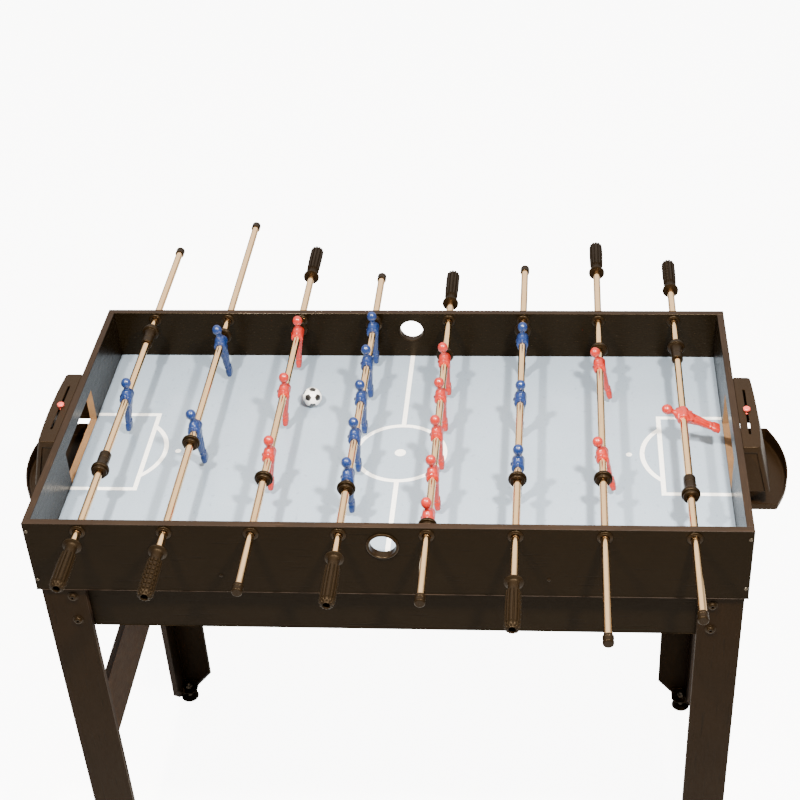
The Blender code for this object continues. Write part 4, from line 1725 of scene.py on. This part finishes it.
class FOOSBALL_OT_men(bpy.types.Operator):
    """Build the men of both teams"""

    bl_idname = "foosball.men"
    bl_label = "Men"

    def execute(self, context):
        men()
        return {"FINISHED"}


class FOOSBALL_OT_grips(bpy.types.Operator):
    """Build the grips"""

    bl_idname = "foosball.grips"
    bl_label = "Grips"

    def execute(self, context):
        grips()
        return {"FINISHED"}


class FOOSBALL_OT_stop_rings(bpy.types.Operator):
    """Build the stop rings and the goalkeepers' sleeves"""

    bl_idname = "foosball.stop_rings"
    bl_label = "Stop rings"

    def execute(self, context):
        stop_rings()
        return {"FINISHED"}


class FOOSBALL_OT_ball(bpy.types.Operator):
    """Build the ball"""

    bl_idname = "foosball.ball"
    bl_label = "Ball"

    def execute(self, context):
        match_ball()
        return {"FINISHED"}


class FOOSBALL_OT_stage(bpy.types.Operator):
    """Build the floor, the lights and the camera"""

    bl_idname = "foosball.stage"
    bl_label = "Stage"

    def execute(self, context):
        make_floor()
        make_lights()
        make_camera()
        return {"FINISHED"}


OPERATORS = (
    FOOSBALL_OT_long_panels,
    FOOSBALL_OT_short_panels,
    FOOSBALL_OT_field,
    FOOSBALL_OT_under_boards,
    FOOSBALL_OT_legs,
    FOOSBALL_OT_linings,
    FOOSBALL_OT_goals,
    FOOSBALL_OT_fasteners,
    FOOSBALL_OT_rods,
    FOOSBALL_OT_men,
    FOOSBALL_OT_grips,
    FOOSBALL_OT_stop_rings,
    FOOSBALL_OT_ball,
    FOOSBALL_OT_stage,
)


class FOOSBALL_PT_panel(bpy.types.Panel):
    """Lists the table's sizes and colours, and builds its pieces"""

    bl_label = "Foosball table"
    bl_space_type = "VIEW_3D"
    bl_region_type = "UI"
    bl_category = "Foosball"

    def draw(self, context):
        scene = context.scene
        for group in (scene.foosball_sizes, scene.foosball_colours, scene.foosball_stage):
            box = self.layout.box()
            for key in group.__annotations__:
                box.prop(group, key)
        column = self.layout.column()
        for operator in OPERATORS:
            column.operator(operator.bl_idname)


CLASSES = (FoosballSizes, FoosballColours, FoosballStage, *OPERATORS, FOOSBALL_PT_panel)


def register():
    for cls in CLASSES:
        bpy.utils.register_class(cls)
    bpy.types.Scene.foosball_sizes = PointerProperty(type=FoosballSizes)
    bpy.types.Scene.foosball_colours = PointerProperty(type=FoosballColours)
    bpy.types.Scene.foosball_stage = PointerProperty(type=FoosballStage)


def unregister():
    del bpy.types.Scene.foosball_stage
    del bpy.types.Scene.foosball_colours
    del bpy.types.Scene.foosball_sizes
    for cls in reversed(CLASSES):
        bpy.utils.unregister_class(cls)


def main():
    register()
    bpy.ops.foosball.long_panels()
    bpy.ops.foosball.short_panels()
    bpy.ops.foosball.field()
    bpy.ops.foosball.under_boards()
    bpy.ops.foosball.legs()
    bpy.ops.foosball.linings()
    bpy.ops.foosball.goals()
    bpy.ops.foosball.fasteners()
    bpy.ops.foosball.rods()
    bpy.ops.foosball.men()
    bpy.ops.foosball.grips()
    bpy.ops.foosball.stop_rings()
    bpy.ops.foosball.ball()
    bpy.ops.foosball.stage()


if __name__ == "__main__":
    main()
